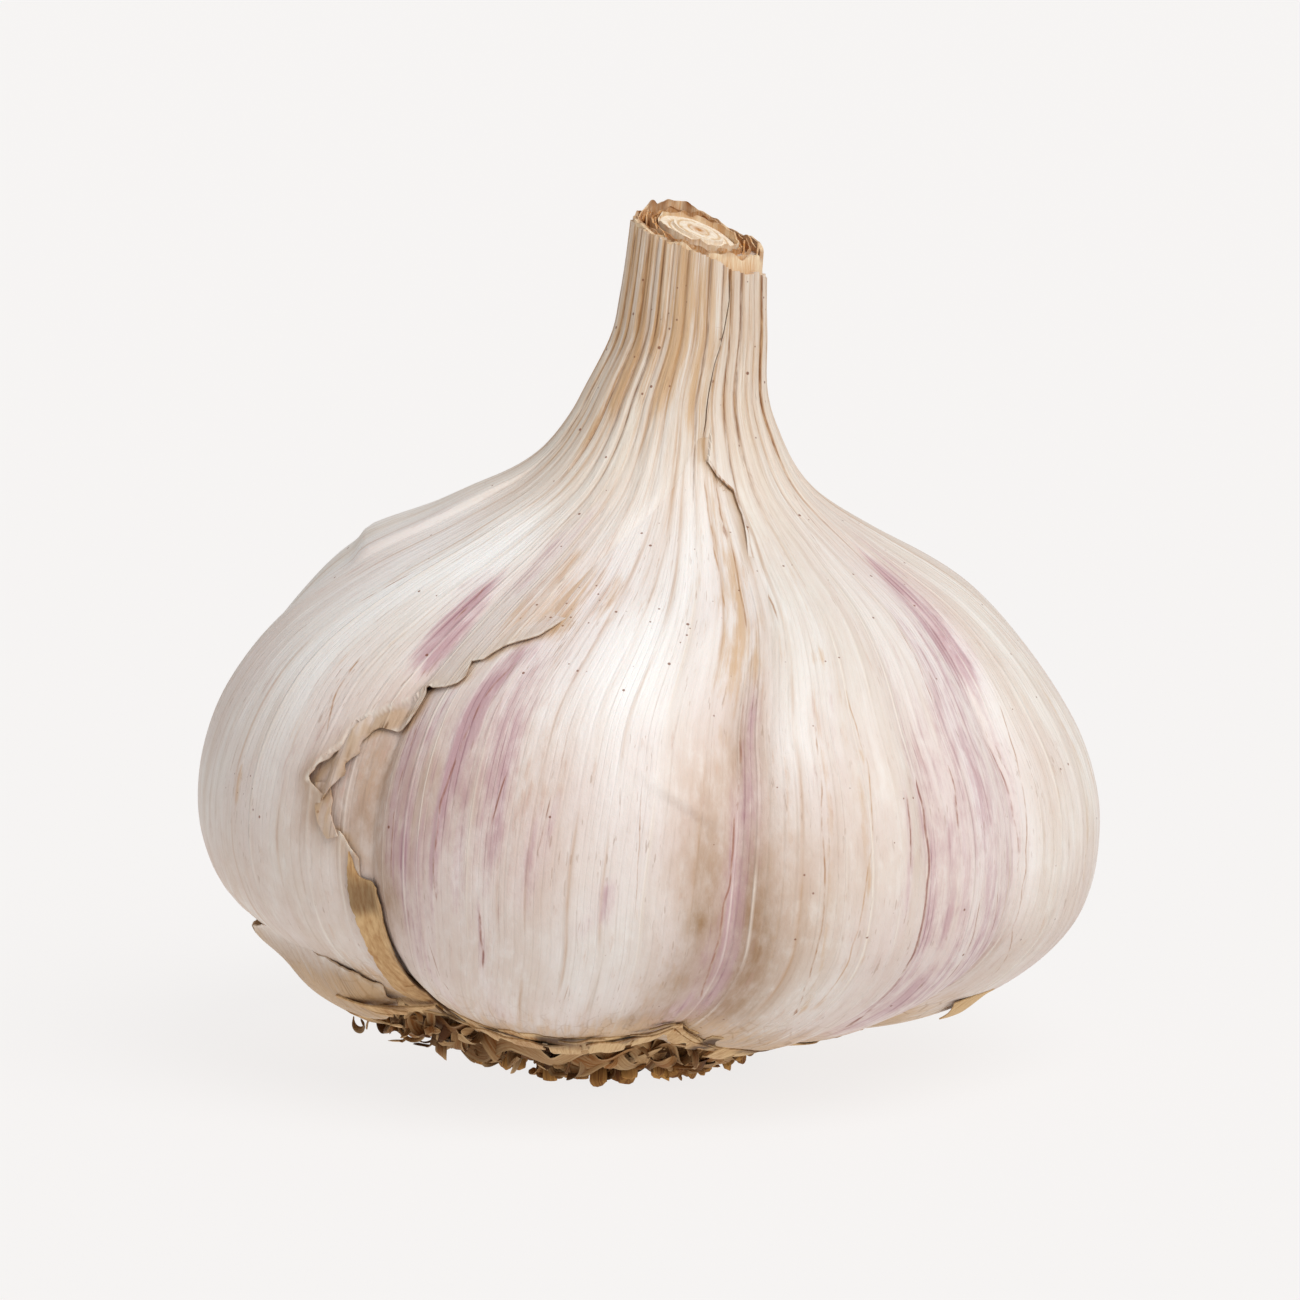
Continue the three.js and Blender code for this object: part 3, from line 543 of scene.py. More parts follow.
def paint(column, t, outer):
    """Masks of the markings, painted highlights and painted shade on a skin, and its coordinates along
    the fibres: vectors of three.
    """
    wander = drift(column, t)
    phase = vein_phase(wander, VEINS)
    mauve = streak_sum(OUTER_MAUVE if outer else INNER_MAUVE, column, t)
    tan = streak_sum(OUTER_TAN if outer else INNER_TAN, column, t)
    neck = neck_share(t)
    broad = noise(wander, t, 46, 4, 82)
    azimuth = column + TWIST_DEG * smooth(t, *TWIST_RANGE)
    side = sum((strength * bell(turn(at, azimuth), 0, width) for at, width, strength in NECK_BROWN), 0.36)
    brown = side * smooth(t, 0.74, 0.9) * mix(0.6, 1.25, smooth(broad, 0.3, 0.7))
    brown = brown * mix(0.5, 1.35, smooth(noise(wander, t, 72, 15, 84), 0.3, 0.7))
    foot = smooth(-t, -0.315, -0.215) * (0.55 + 0.6 * broad)
    tan = np.maximum(tan, foot)
    tan = np.maximum(tan, 0.3 * smooth(broad, 0.62, 0.9) * (1 - neck))
    haze = 0.3 * smooth(noise(column, t, 14, 4, 83), 0.5, 0.9) * (1 - neck) * smooth(t, 0.25, 0.4)
    mauve = np.maximum(mauve, 0.6 * haze)
    # pale: painted highlights where the light falls brightest, and a few paler patches round the back.
    pale = patch_sum(HIGHLIGHTS_AND_PALE_PATCHES, column, t)
    # Painted shade: the shaded patches, and the belly darker towards its foot.
    shaded = np.maximum(patch_sum(SHADED, column, t), 0.55 * smooth(-t, -0.5, -0.36) * (1 - pale))
    zero = np.zeros(np.shape(column))
    return {
        "leaf": np.stack([phase, vein_phase(wander, THREADS), spline(t)[0] + zero], -1),
        "marks": np.stack([mauve, tan, speck_sum(column, t)], -1),
        "zones": np.stack([pale * (1 - foot), shaded, foot], -1),
        "collar": np.stack([neck + zero, np.clip(brown, 0, 1), patch_sum(DUST_AND_GROOVE_SHADE, column, t)], -1),
        "torn": np.stack([zero, zero, 0.55 * neck_crease(wander, t) * smooth(t, 0.74, 0.88)], -1),
        "ink": drawn(INK if outer else INNER_INK, column, t),
        "trace": drawn(TRACE if outer else INNER_TRACE, column, t),
        "grain": grain(column, t),
    }


def grain(column, t):
    """Coordinates that run along the fibres, in millimetres."""
    a = np.radians(column)
    return np.stack([BELLY_RADIUS * np.cos(a), BELLY_RADIUS * np.sin(a), t * MM_PER_SHARE + 0 * a], -1)


# ---- Meshes ----

def settings():
    """The sizes and colours set in the panel."""
    return bpy.context.scene.garlic


SHARP_ANGLE = 62  # degrees between faces from which their edge is sharp


def make_piece(name, part, finish, node):
    """A mesh object from points in millimetres, faces and attributes, which stands for a CAD node."""
    points, faces, attributes = part
    mesh = bpy.data.meshes.new(name)
    mesh.from_pydata((np.asarray(points, float) * MM).tolist(), [], [list(map(int, f)) for f in faces])
    mesh.validate()
    mesh.polygons.foreach_set("use_smooth", np.ones(len(mesh.polygons), bool))
    for key, values in attributes.items():
        layer = mesh.attributes.new(key, "FLOAT_VECTOR", "POINT")
        layer.data.foreach_set("vector", np.ascontiguousarray(values, np.float32).ravel())
    mesh.set_sharp_from_angle(angle=math.radians(SHARP_ANGLE))
    mesh.materials.append(material_named(finish))
    piece = bpy.data.objects.new(name, mesh)
    bpy.context.scene.collection.objects.link(piece)
    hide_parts(node)
    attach(piece, "root")


def flat(line):
    """Columns and shares to the flat plane, in millimetres at the belly."""
    return np.asarray(line, float) * (MM_PER_DEGREE, MM_PER_SHARE)


def unflat(points):
    """Points of the flat plane back to columns and shares."""
    points = np.asarray(points, float)
    return points[..., 0] / MM_PER_DEGREE, points[..., 1] / MM_PER_SHARE


def triangulate(border, inside):
    """Points and triangles of a flat outline filled with inner points."""
    points = [Vector(p) for p in np.concatenate([border, inside]).tolist()]
    verts, _, faces, *_ = delaunay_2d_cdt(points, [], [list(range(len(border)))], 1, 1e-5)
    verts = np.array([v[:] for v in verts])
    faces = np.array(faces)
    used = np.unique(faces)
    index = np.full(len(verts), -1)
    index[used] = np.arange(len(used))
    return verts[used], index[faces]


def grid_of(columns, rows):
    """Every pairing of the columns with the rows."""
    return np.stack(np.meshgrid(columns, rows), -1).reshape(-1, 2)


def tree_of(line):
    """Search tree over the points of a flat line."""
    tree = kdtree.KDTree(len(line))
    for i, p in enumerate(line):
        tree.insert((p[0], p[1], 0), i)
    tree.balance()
    return tree


def gaps_to(tree, points):
    """Distance from each flat point to the nearest one of a line."""
    return np.array([tree.find((p[0], p[1], 0))[2] for p in points])


def clear_of(points, border, gap):
    """Those points that keep a gap from a border line."""
    return points[gaps_to(tree_of(border), points) > gap]


def border_edges(faces):
    """Directed edges that only one triangle uses."""
    edges = dict.fromkeys(e for a, b, c in faces.tolist() for e in ((a, b), (b, c), (c, a)))
    return [e for e in edges if (e[1], e[0]) not in edges]


def sheet(border, fine, coarse, outside, inside):
    """Closed thin sheet over a flat outline: outer points from fine, inner ones from coarse.

    outside and inside turn flat points into points in space and their attributes.
    """
    top, top_faces = triangulate(border, fine)
    low, low_faces = triangulate(border, coarse)
    top_points, top_values = outside(top)
    low_points, low_values = inside(low)
    find = {tuple(np.round(p, 4)): i for i, p in enumerate(low)}
    count = len(top)
    rim = []
    for a, b in border_edges(top_faces):
        i, j = (find.get(tuple(np.round(top[k], 4))) for k in (a, b))
        if i is None or j is None:  # an edge that the other side doesn't have
            continue
        rim.append((b, a, count + i))
        rim.append((b, count + i, count + j))
    faces = np.concatenate([top_faces, low_faces[:, ::-1] + count, np.array(rim)])
    values = {key: np.concatenate([top_values[key], low_values[key]]) for key in top_values}
    return np.concatenate([top_points, low_points]), faces, values


def patch(border, step, gap, surface):
    """Thin sheet over a flat outline: surface(points, 0) is its top and surface(points, 1) its back."""
    low, high = border.min(0), border.max(0)
    grid = grid_of(*(np.arange(low[k], high[k], step[k]) for k in (0, 1)))
    inner = clear_of(grid, border, gap)
    return sheet(border, inner, inner, lambda p: surface(p, 0), lambda p: surface(p, 1))


def merge(parts):
    """Joins (points, faces, attributes) parts into one."""
    points, faces, values, count = [], [], {}, 0
    for p, f, v in parts:
        points.append(p)
        faces.append(np.asarray(f) + count)
        count += len(p)
        for key in v:
            values.setdefault(key, []).append(v[key])
    values = {key: np.concatenate(v) for key, v in values.items()}
    return np.concatenate(points), np.concatenate(faces), values


def ring_quads(rings, count, closed=False):
    """Faces between rings of count points each; closed also joins the last ring to the first."""
    index = np.arange(rings * count).reshape(rings, count)
    low, high = (index, np.roll(index, -1, 0)) if closed else (index[:-1], index[1:])
    return np.stack([low, np.roll(low, -1, 1), np.roll(high, -1, 1), high], -1).reshape(-1, 4)


def tube_triangles(rings, count):
    """Faces of a closed tube: rings of count points, followed by the middle points of its two ends."""
    quads = ring_quads(rings, count)
    this = np.arange(count)
    after = (this + 1) % count
    start, last = rings * count, (rings - 1) * count
    return np.concatenate([
        quads[:, [0, 1, 2]], quads[:, [0, 2, 3]],
        np.stack([np.full(count, start), after, this], 1),
        np.stack([np.full(count, start + 1), last + this, last + after], 1),
    ])


def tones(base, dark):
    """Tone of plant fibre as a vector of three: how pale it is, and how dark it is from its own colour
    and, in places, from painted shade.
    """
    return np.stack([np.clip(base, 0, 1), np.clip(dark, 0, 1), 0 * base], 1)


# ---- Materials ----

def linear(code):
    """sRGB hex to a linear colour."""
    parts = [int(code[i:i + 2], 16) / 255 for i in (1, 3, 5)]
    return [p / 12.92 if p <= 0.04045 else ((p + 0.055) / 1.055) ** 2.4 for p in parts] + [1]


def tint(colour):
    """A linear colour from a hex code or from a setting."""
    return linear(colour) if isinstance(colour, str) else [*colour, 1]


def add_node(tree, kind, values=None, links=None, **options):
    """Adds a node: options are its settings, values its socket values, links its inputs."""
    node = tree.nodes.new(kind)
    for key, value in options.items():
        setattr(node, key, value)
    for key, value in (values or {}).items():
        node.inputs[key].default_value = value
    for key, socket in (links or {}).items():
        tree.links.new(socket, node.inputs[key])
    return node


def new_material(name):
    """An empty material and its node tree."""
    material = bpy.data.materials.new(name)
    material.use_nodes = True
    material.node_tree.nodes.clear()
    return material, material.node_tree


# Noise along the fibres of a leaf sheath: width and length of a cell in millimetres, detail, roughness.
# Real fibres are about 0.05 mm wide, too fine to show, so the narrowest cells are three times as coarse.
LEAF_NOISE = {
    "hair_cells": (0.16, 8, 2.0, 0.5), "band_cells": (1.5, 18, 4.0, 0.55),
    "cloud_cells": (7.0, 12, 4.0, 0.6), "fray_cells": (0.4, 5.5, 4.0, 0.65),
    "crumple_cells": (0.8, 0.9, 5.0, 0.6), "break_cells": (0.8, 9.0, 2.0, 0.5),
    "mottle_cells": (0.9, 2.4, 6.0, 0.62), "dash_cells": (0.24, 1.7, 2.0, 0.5),
    "gap_cells": (0.6, 2.0, 3.0, 0.6),
}
MATH, RANGE, BLEND = "ShaderNodeMath", "ShaderNodeMapRange", "ShaderNodeMix"
VEIN_STEP = 2 * math.pi / VEIN_COUNT  # turns a phase times a radius into millimetres
THREAD_STEP = 2 * math.pi / THREAD_COUNT
SPECK_CELL = 0.6  # millimetres

# Steps below that aren't Math operations: their node and its settings.
STEP_KINDS = {
    "range": (RANGE, {}),
    "draw": ("ShaderNodeTexWhiteNoise", {"noise_dimensions": "1D"}),
    "stretch": ("ShaderNodeVectorMath", {"operation": "MULTIPLY"}),
    "cell_edges": ("ShaderNodeTexVoronoi", {"feature": "DISTANCE_TO_EDGE"}),
    "cells": ("ShaderNodeTexVoronoi", {}),
    "parts": ("ShaderNodeSeparateXYZ", {}),
    "place": ("ShaderNodeTexCoord", {}),
}


def line_steps(name, phase, step, width, scale=1.0):
    """Steps for a line of a width in millimetres wherever a phase passes a whole number."""
    return [
        (name + "_phase", "MULTIPLY", phase, scale),
        (name + "_off", "PINGPONG", name + "_phase", 0.5),
        (name + "_far", "MULTIPLY", name + "_off", "leaf2"),
        (name, "range", name + "_far", 0.15 * width * scale / step, width * scale / step, 1, 0),
    ]


def frayed_steps(name, mask):
    """Steps that tear a soft mask into fibres: a weak mask leaves a few, a strong one nearly all."""
    return [
        (name + "_sum", "MULTIPLY_ADD", mask, 2.0, "fray_down"),
        (name + "_blots", "ADD", name + "_sum", "blot_down"),
        (name + "_cut", "range", name + "_blots", -0.45, 0.7),
        (name + "_own", "MULTIPLY_ADD", mask, 0.6, 0.4),
        (name, "MULTIPLY", name + "_cut", name + "_own"),
    ]


def drawn_steps(name):
    """Steps that fill the single lines of an attribute, and how purple they are."""
    return [
        (name + "_off", "ABSOLUTE", name + "0"),
        (name + "_in", "SUBTRACT", name + "1", name + "_off"),
        (name, "range", name + "_in", 0.0, 0.09),
        (name + "_purple", "MULTIPLY", name, name + "2"),
    ]


# Each step: name, Math operation or kind, then the node's inputs in order, each of them an earlier field,
# a value, or None where it isn't set. A range has a source, from, to, and the values that these become,
# which are 0 and 1 where it gives none.
LEAF_STEPS = [
    ("hair", "range", "hair_cells", 0.48, 0.72),
    ("band", "range", "band_cells", 0.36, 0.64),
    ("cloud", "range", "cloud_cells", 0.42, 0.7),
    ("cloud_low", "range", "cloud_cells", 0.56, 0.36),
    ("fray_down", "range", "fray_cells", 0.3, 0.68, 0.0, -1.35),
    ("broken", "range", "break_cells", 0.42, 0.6, 0.12, 1.0),
    ("rarely", "range", "break_cells", 0.52, 0.66),
    ("matt", "range", "hair_cells", 0.3, 0.7, -0.05, 0.09),
    ("dull", "range", "cloud_cells", 0.3, 0.7, -0.05, 0.05),
    ("mottle_dark", "range", "mottle_cells", 0.5, 0.68),
    ("cloud_up", "range", "cloud_cells", 0.36, 0.6, 0.45, 1.0),
    ("mottle_pale", "range", "mottle_cells", 0.5, 0.34),
    ("blot", "range", "mottle_cells", 0.34, 0.6, 0.66, 1.0),
    ("blot_down", "range", "mottle_cells", 0.62, 0.36, 0.0, -0.8),
    ("dash", "range", "dash_cells", 0.655, 0.7),
    ("gappy", "range", "gap_cells", 0.38, 0.6),
    ("dash_zone", "range", "cloud_cells", 0.46, 0.58),
    *drawn_steps("ink"),
    *drawn_steps("trace"),
    *line_steps("vein", "leaf0", VEIN_STEP, 0.17),
    *line_steps("thread", "leaf1", THREAD_STEP, 0.1),
    ("vein_near", "ADD", "leaf0", 0.5),
    ("vein_id", "FLOOR", "vein_near"),
    ("vein_draw", "draw", None, "vein_id"),
    ("vein_pale", "range", "vein_draw", 0.35, 0.7),
    ("vein_tan", "range", "vein_draw", 0.4, 0.15),
    *line_steps("valley", "leaf0", VEIN_STEP, 0.13, 0.5),
    *line_steps("valley_wide", "leaf0", VEIN_STEP, 0.34, 0.5),
    # The shaded side of a vein, and a tone of its own for every strip between veins.
    ("side_phase", "FRACT", "leaf0"),
    ("side_far", "MULTIPLY", "side_phase", "leaf2"),
    ("side", "range", "side_far", 0.45 / VEIN_STEP, 0.1 / VEIN_STEP),
    ("strip_id", "FLOOR", "leaf0"),
    ("strip", "draw", None, "strip_id"),
    ("strip_pale", "range", "strip", 0.5, 1),
    ("strip_dark", "range", "strip", 0.5, 0),
    ("fine_id", "FLOOR", "leaf1"),
    ("fine_strip", "draw", None, "fine_id"),
    ("rib_id", "FLOOR", "valley_phase"),
    ("rib_tone", "draw", None, "rib_id"),
    ("body", "SUBTRACT", 1.0, "collar0"),
    *frayed_steps("mauve", "marks0"),
    *frayed_steps("tan", "marks1"),
    *frayed_steps("brown", "collar1"),
    ("rib_brown", "MULTIPLY", "brown", "rib_tone"),
    ("mauve_line", "MULTIPLY", "mauve", "thread"),
    ("border_phase", "ADD", "valley_phase", 0.5),
    ("border_id", "FLOOR", "border_phase"),
    ("border_draw", "draw", None, "border_id"),
    ("valley_own", "MULTIPLY", "valley", "border_draw"),
    ("neck_valley", "MULTIPLY", "valley_own", "collar0"),
    ("neck_hollow", "MULTIPLY", "valley_wide", "collar0"),
    ("neck_ridge", "MULTIPLY", "rib_tone", "collar0"),
    ("vein_shown", "MULTIPLY", "vein", "vein_pale"),
    ("body_vein", "MULTIPLY", "vein_shown", "body"),
    ("tan_vein", "MULTIPLY", "vein", "vein_tan"),
    ("body_side", "MULTIPLY", "side", "body"),
    ("body_thread", "MULTIPLY", "thread", "body"),
    # Fine cracks where the skin has dried at its foot.
    ("crack_place", "stretch", "grain", (0.9, 0.9, 0.55)),
    ("crack_cells", "cell_edges", "crack_place", None, 0.8),
    ("crack", "range", "crack_cells", 0.02, 0.06, 1, 0),
    ("foot_crack", "MULTIPLY", "crack", "zones2"),
    # Specks are small balls scattered in space, cut by the skin.
    ("place", "place"),
    ("speck_cells", "cells", "place.3", None, 1 / (SPECK_CELL * MM)),
    ("speck_draw", "parts", "speck_cells.1"),
    ("speck_size", "MULTIPLY_ADD", "speck_draw.1", 0.13, 0.065),
    ("speck_near", "SUBTRACT", "speck_size", "speck_cells.0"),
    ("speck_spot", "range", "speck_near", -0.03, 0.045),
    ("speck_kept", "LESS_THAN", "speck_draw.0", "marks2"),
    ("speck", "MULTIPLY", "speck_spot", "speck_kept"),
    # Height of the fibres for the bump.
    ("rise_hair", "MULTIPLY", "hair_cells", 0.35),
    ("rise_mottle", "MULTIPLY_ADD", "mottle_cells", 2.2, "rise_hair"),
    ("rise_vein", "MULTIPLY_ADD", "body_vein", 0.9, "rise_mottle"),
    ("dashes", "MULTIPLY", "dash", "dash_zone"),
    ("neck_dash", "MULTIPLY", "dash", "collar1"),
    ("rise_thread", "MULTIPLY_ADD", "body_thread", -0.35, "rise_vein"),
    ("rise_crumple", "MULTIPLY_ADD", "crumple_cells", 0.9, "rise_thread"),
    ("rise", "MULTIPLY_ADD", "neck_valley", -0.8, "rise_crumple"),
    ("rough_hair", "ADD", "matt", "dull"),
]


SHEER = 0.08  # share of the light that passes into a dry skin


def skin_material(name, light, dark, mauve, tan, rough):
    """Dried leaf sheath: satin, papery, slightly see-through, with fibres along the leaf."""
    material, tree = new_material(name)
    field = {}
    for key in ("grain", "leaf", "marks", "zones", "collar", "torn", "ink", "trace"):
        field[key] = add_node(tree, "ShaderNodeAttribute", attribute_name=key).outputs["Vector"]
        parts = add_node(tree, "ShaderNodeSeparateXYZ", links={0: field[key]}).outputs
        for axis in range(3):
            field[f"{key}{axis}"] = parts[axis]
    for key, (across, length, detail, coarse) in LEAF_NOISE.items():
        scaled = add_node(
            tree, "ShaderNodeMapping", {"Scale": (1 / across, 1 / across, 1 / length)},
            {"Vector": field["grain"]},
        )
        field[key] = add_node(
            tree, "ShaderNodeTexNoise", {"Scale": 1.0, "Detail": detail, "Roughness": coarse},
            {"Vector": scaled.outputs[0]},
        ).outputs[0]
    for key, kind, *inputs in LEAF_STEPS:
        node_kind, options = STEP_KINDS.get(kind, (MATH, {"operation": kind}))
        links = {i: field[v] for i, v in enumerate(inputs) if isinstance(v, str)}
        values = {i: v for i, v in enumerate(inputs) if v is not None and i not in links}
        outputs = add_node(tree, node_kind, values, links, **options).outputs
        field[key] = outputs[0]
        for index, socket in enumerate(outputs):
            field[f"{key}.{index}"] = socket
    # Each coat: colour, where it lies, what breaks it up, and how strong it is at most.
    coats = [
        # Painted shade.
        ("#D5BDAC", "zones1", "blot", 1.0),
        ("#D3BEAC", "strip_dark", "cloud", 0.25),
        ("#F6F1EC", "strip_pale", "cloud_low", 0.3),
        ("#CDB6A2", "fine_strip", "broken", 0.12),
        ("#DFC9C8", "cloud", "body", 0.3),
        ("#C6B1A0", "mottle_dark", "cloud", 0.34),
        ("#F8F4F0", "mottle_pale", "cloud_low", 0.3),
        # Painted highlights.
        ("#FAF8F6", "zones0", None, 0.85),
        ("#B9A28C", "hair", "broken", 0.13),
        ("#B59C85", "body_thread", "rarely", 0.2),
        ("#AF957D", "body_side", "broken", 0.2),
        # Dust and dried juice, with painted shade down the grooves.
        ("#9C7850", "collar2", "blot", 1.0),
        (tan, "tan", None, 0.95),
        ("#B98A5A", "tan_vein", "broken", 0.4),
        ("#D8B48A", "collar0", "cloud_up", 0.34),
        ("#D4AC7C", "brown", None, 0.75),
        ("#AE7840", "rib_brown", "band", 0.5),
        ("#DEC6C9", "marks0", "body", 0.7),
        (mauve, "mauve", None, 0.82),
        ("#8C5A64", "mauve_line", "broken", 0.7),
        ("#F8EEE2", "body_vein", "broken", 0.55),
        ("#F8EEDD", "neck_ridge", "cloud_low", 0.45),
        ("#B4803F", "neck_hollow", "broken", 0.62),
        ("#7C4A1E", "neck_valley", "gappy", 1.0),
        ("#94602E", "neck_dash", "broken", 0.8),
        ("#A4866F", "dashes", None, 0.45),
        ("#9A7146", "foot_crack", "broken", 0.7),
        ("#A8743C", "ink", "gappy", 0.85),
        ("#85565A", "ink_purple", "gappy", 0.7),
        ("#B5834A", "trace", "gappy", 0.8),
        ("#8E5F68", "trace_purple", "gappy", 0.75),
        ("#7B4526", "speck", None, 0.85),
        # Dust, and painted shade along the torn edges, in the fold under the lip and at the foot.
        ("#B9976F", "torn0", None, 1.0),
        # A paler torn rim, with a painted highlight along the rolled lip.
        ("#F5EDE0", "torn1", "gappy", 0.9),
        ("#74502E", "torn2", "hair", 1.0),
    ]
    colour = add_node(
        tree, BLEND, {6: tint(dark), 7: tint(light)}, {"Factor": field["band"]}, data_type="RGBA",
    )
    for coat, place_key, break_key, strength in coats:
        factor = add_node(tree, MATH, {1: strength}, {0: field[place_key]}, operation="MULTIPLY")
        if break_key:
            factor = add_node(
                tree, MATH, None, {0: factor.outputs[0], 1: field[break_key]}, operation="MULTIPLY",
            )
        colour = add_node(
            tree, BLEND, {7: tint(coat)}, {"Factor": factor.outputs[0], 6: colour.outputs[2]},
            data_type="RGBA",
        )
    ridges = add_node(
        tree, "ShaderNodeBump", {"Strength": 0.6, "Distance": 0.00008}, {"Height": field["rise"]},
    )
    roughness = add_node(tree, MATH, {1: rough}, {0: field["rough_hair"]}, operation="ADD")
    shader = add_node(
        tree, "ShaderNodeBsdfPrincipled",
        {
            "Subsurface Weight": SHEER, "Subsurface Radius": (1.0, 0.72, 0.6),
            "Subsurface Scale": 0.001, "Specular IOR Level": 0.4,
        },
        {"Base Color": colour.outputs[2], "Normal": ridges.outputs[0], "Roughness": roughness.outputs[0]},
    )
    add_node(tree, "ShaderNodeOutputMaterial", links={"Surface": shader.outputs[0]})
    return material


def fibre_material(name, light, dark, deep, rough):
    """Dry, dull plant fibre: each strand has its own tone, and streaks run along it."""
    material, tree = new_material(name)
    where = add_node(tree, "ShaderNodeAttribute", attribute_name="grain").outputs["Vector"]
    tone = add_node(tree, "ShaderNodeAttribute", attribute_name="tone").outputs["Vector"]
    pale, darkness_and_shade, _ = add_node(tree, "ShaderNodeSeparateXYZ", links={0: tone}).outputs
    # Fibre bundles are about 0.1 mm wide, too fine to show, so the streaks are drawn 0.25 mm wide.
    scaled = add_node(tree, "ShaderNodeMapping", {"Scale": (4.0, 4.0, 0.6)}, {"Vector": where})
    streak = add_node(
        tree, "ShaderNodeTexNoise", {"Scale": 1.0, "Detail": 4.0, "Roughness": 0.6},
        {"Vector": scaled.outputs[0]},
    ).outputs["Fac"]
    streaks = add_node(
        tree, RANGE, {"From Min": 0.3, "From Max": 0.7, "To Min": -0.38, "To Max": 0.38},
        {"Value": streak},
    )
    level = add_node(tree, MATH, None, {0: pale, 1: streaks.outputs[0]}, operation="ADD", use_clamp=True)
    colour = add_node(
        tree, BLEND, {6: tint(dark), 7: tint(light)}, {"Factor": level.outputs[0]}, data_type="RGBA",
    )
    colour = add_node(
        tree, BLEND, {7: tint(deep)}, {"Factor": darkness_and_shade, 6: colour.outputs[2]}, data_type="RGBA",
    )
    bump = add_node(tree, "ShaderNodeBump", {"Strength": 0.7, "Distance": 0.00012}, {"Height": streak})
    shader = add_node(
        tree, "ShaderNodeBsdfPrincipled", {"Roughness": rough, "Specular IOR Level": 0.3},
        {"Base Color": colour.outputs[2], "Normal": bump.outputs[0]},
    )
    add_node(tree, "ShaderNodeOutputMaterial", links={"Surface": shader.outputs[0]})
    return material


def material_named(name):
    """Finds a finish of the bulb, or makes it on first use."""
    if name in bpy.data.materials:
        return bpy.data.materials[name]
    look = settings()
    # Sheath dried on the clove: satin paper, whose fine fibres and faint gloss show it is thin and tight.
    if name == "air_dried_clove_sheath":
        return skin_material(name, look.inner_colour, "#E1D5CB", look.mauve_colour, look.tan_colour, 0.46)
    # Sheath dried in the open air: duller and browner, which the eye reads as an older, looser layer.
    if name == "air_dried_outer_sheath":
        return skin_material(name, look.outer_colour, "#DED2C6", look.mauve_colour, look.tan_colour, 0.48)
    # Oldest wrapper, weathered in the soil: dull tan with dark fibres, so that the skins look clean.
    if name == "weathered_leaf_scale":
        return fibre_material(name, look.scale_colour, "#9A6228", "#3E1D08", 0.7)
    # Sheaths sliced by the knife: cream tissue between brown skins, so that the layers can be counted.
    if name == "knife_cut_leaf_sheath":
        return fibre_material(name, "#F2DCBB", "#CB8C48", "#8C5524", 0.7)
    # Pith sliced by the knife: chalky and nearly white round a tan core, the brightest spot of the neck.
    if name == "knife_cut_stalk_pith":
        return fibre_material(name, "#F7EBDA", "#E2C49A", "#BC8140", 0.8)
    # Roots cropped and dried: dark brown fibre, paler in streaks and with painted highlights along the
    # edges of each strand, which gives the tuft its depth.
    return fibre_material(name, look.root_colour, "#6F3F14", "#261003", 0.8)


# ---- The cloves in their inner skin ----

def seam_left(t):
    """1 where the outer skin lies so tight that the left side of its tear can't be seen."""
    return smooth(t, 0.632, 0.66) * (1 - smooth(t, 0.8, 0.84))


def seam_right(t):
    """The same for the right side."""
    return 1 - smooth(t, 0.69, 0.73)


FLAP = ((-3, -0.5, 5.8, 10.2), (0.528, 0.517, 0.495, 0.478))  # columns and shares of the fold


def tear_columns(t):
    """Columns of the left and the right side of the tear."""
    return np.interp(t, *LEFT_BY_SHARE.T), np.interp(t, *RIGHT_BY_SHARE.T)


def inner_lift(column, t):
    """Lift of the inner skin: high where the tear bares it, low where it is wrapped."""
    left_side, right_side = tear_columns(t)
    from_left, from_right = turn(left_side, column), turn(column, right_side)
    left = mix(smooth(from_left, -8, -2), smooth(from_left, -14, -6), seam_left(t))
    right = mix(smooth(from_right, -9, -3), smooth(from_right, -12, -5), seam_right(t))
    rows = 1 - smooth(t, 0.91, 0.95)
    # A fold of the inner skin lies across the front clove.
    up = (t - np.interp(turn(0, column), *FLAP)) * MM_PER_SHARE
    flap = 0.24 * smooth(up, -0.35, 0.05) * np.exp(-np.maximum(up, 0) / 1.5) * bell(turn(4, column), 0, 5)
    return mix(-0.8, -0.22, left * right * rows) + flap


def foot_dust_and_shade(column, t):
    """Brown dust and painted shade where the skins meet the root plate, thickest under the front groove.
    """
    patchy = 0.45 + 0.9 * (noise(column, t, 90, 40, 91) - 0.2)
    dust_and_shade = 0.65 * smooth(-t, -0.246, -0.206) * patchy
    groove = 0.8 * bell(turn(9, column), 0, 7) * smooth(-t, -0.29, -0.235) * patchy
    return np.clip(np.maximum(dust_and_shade, groove), 0, 1)


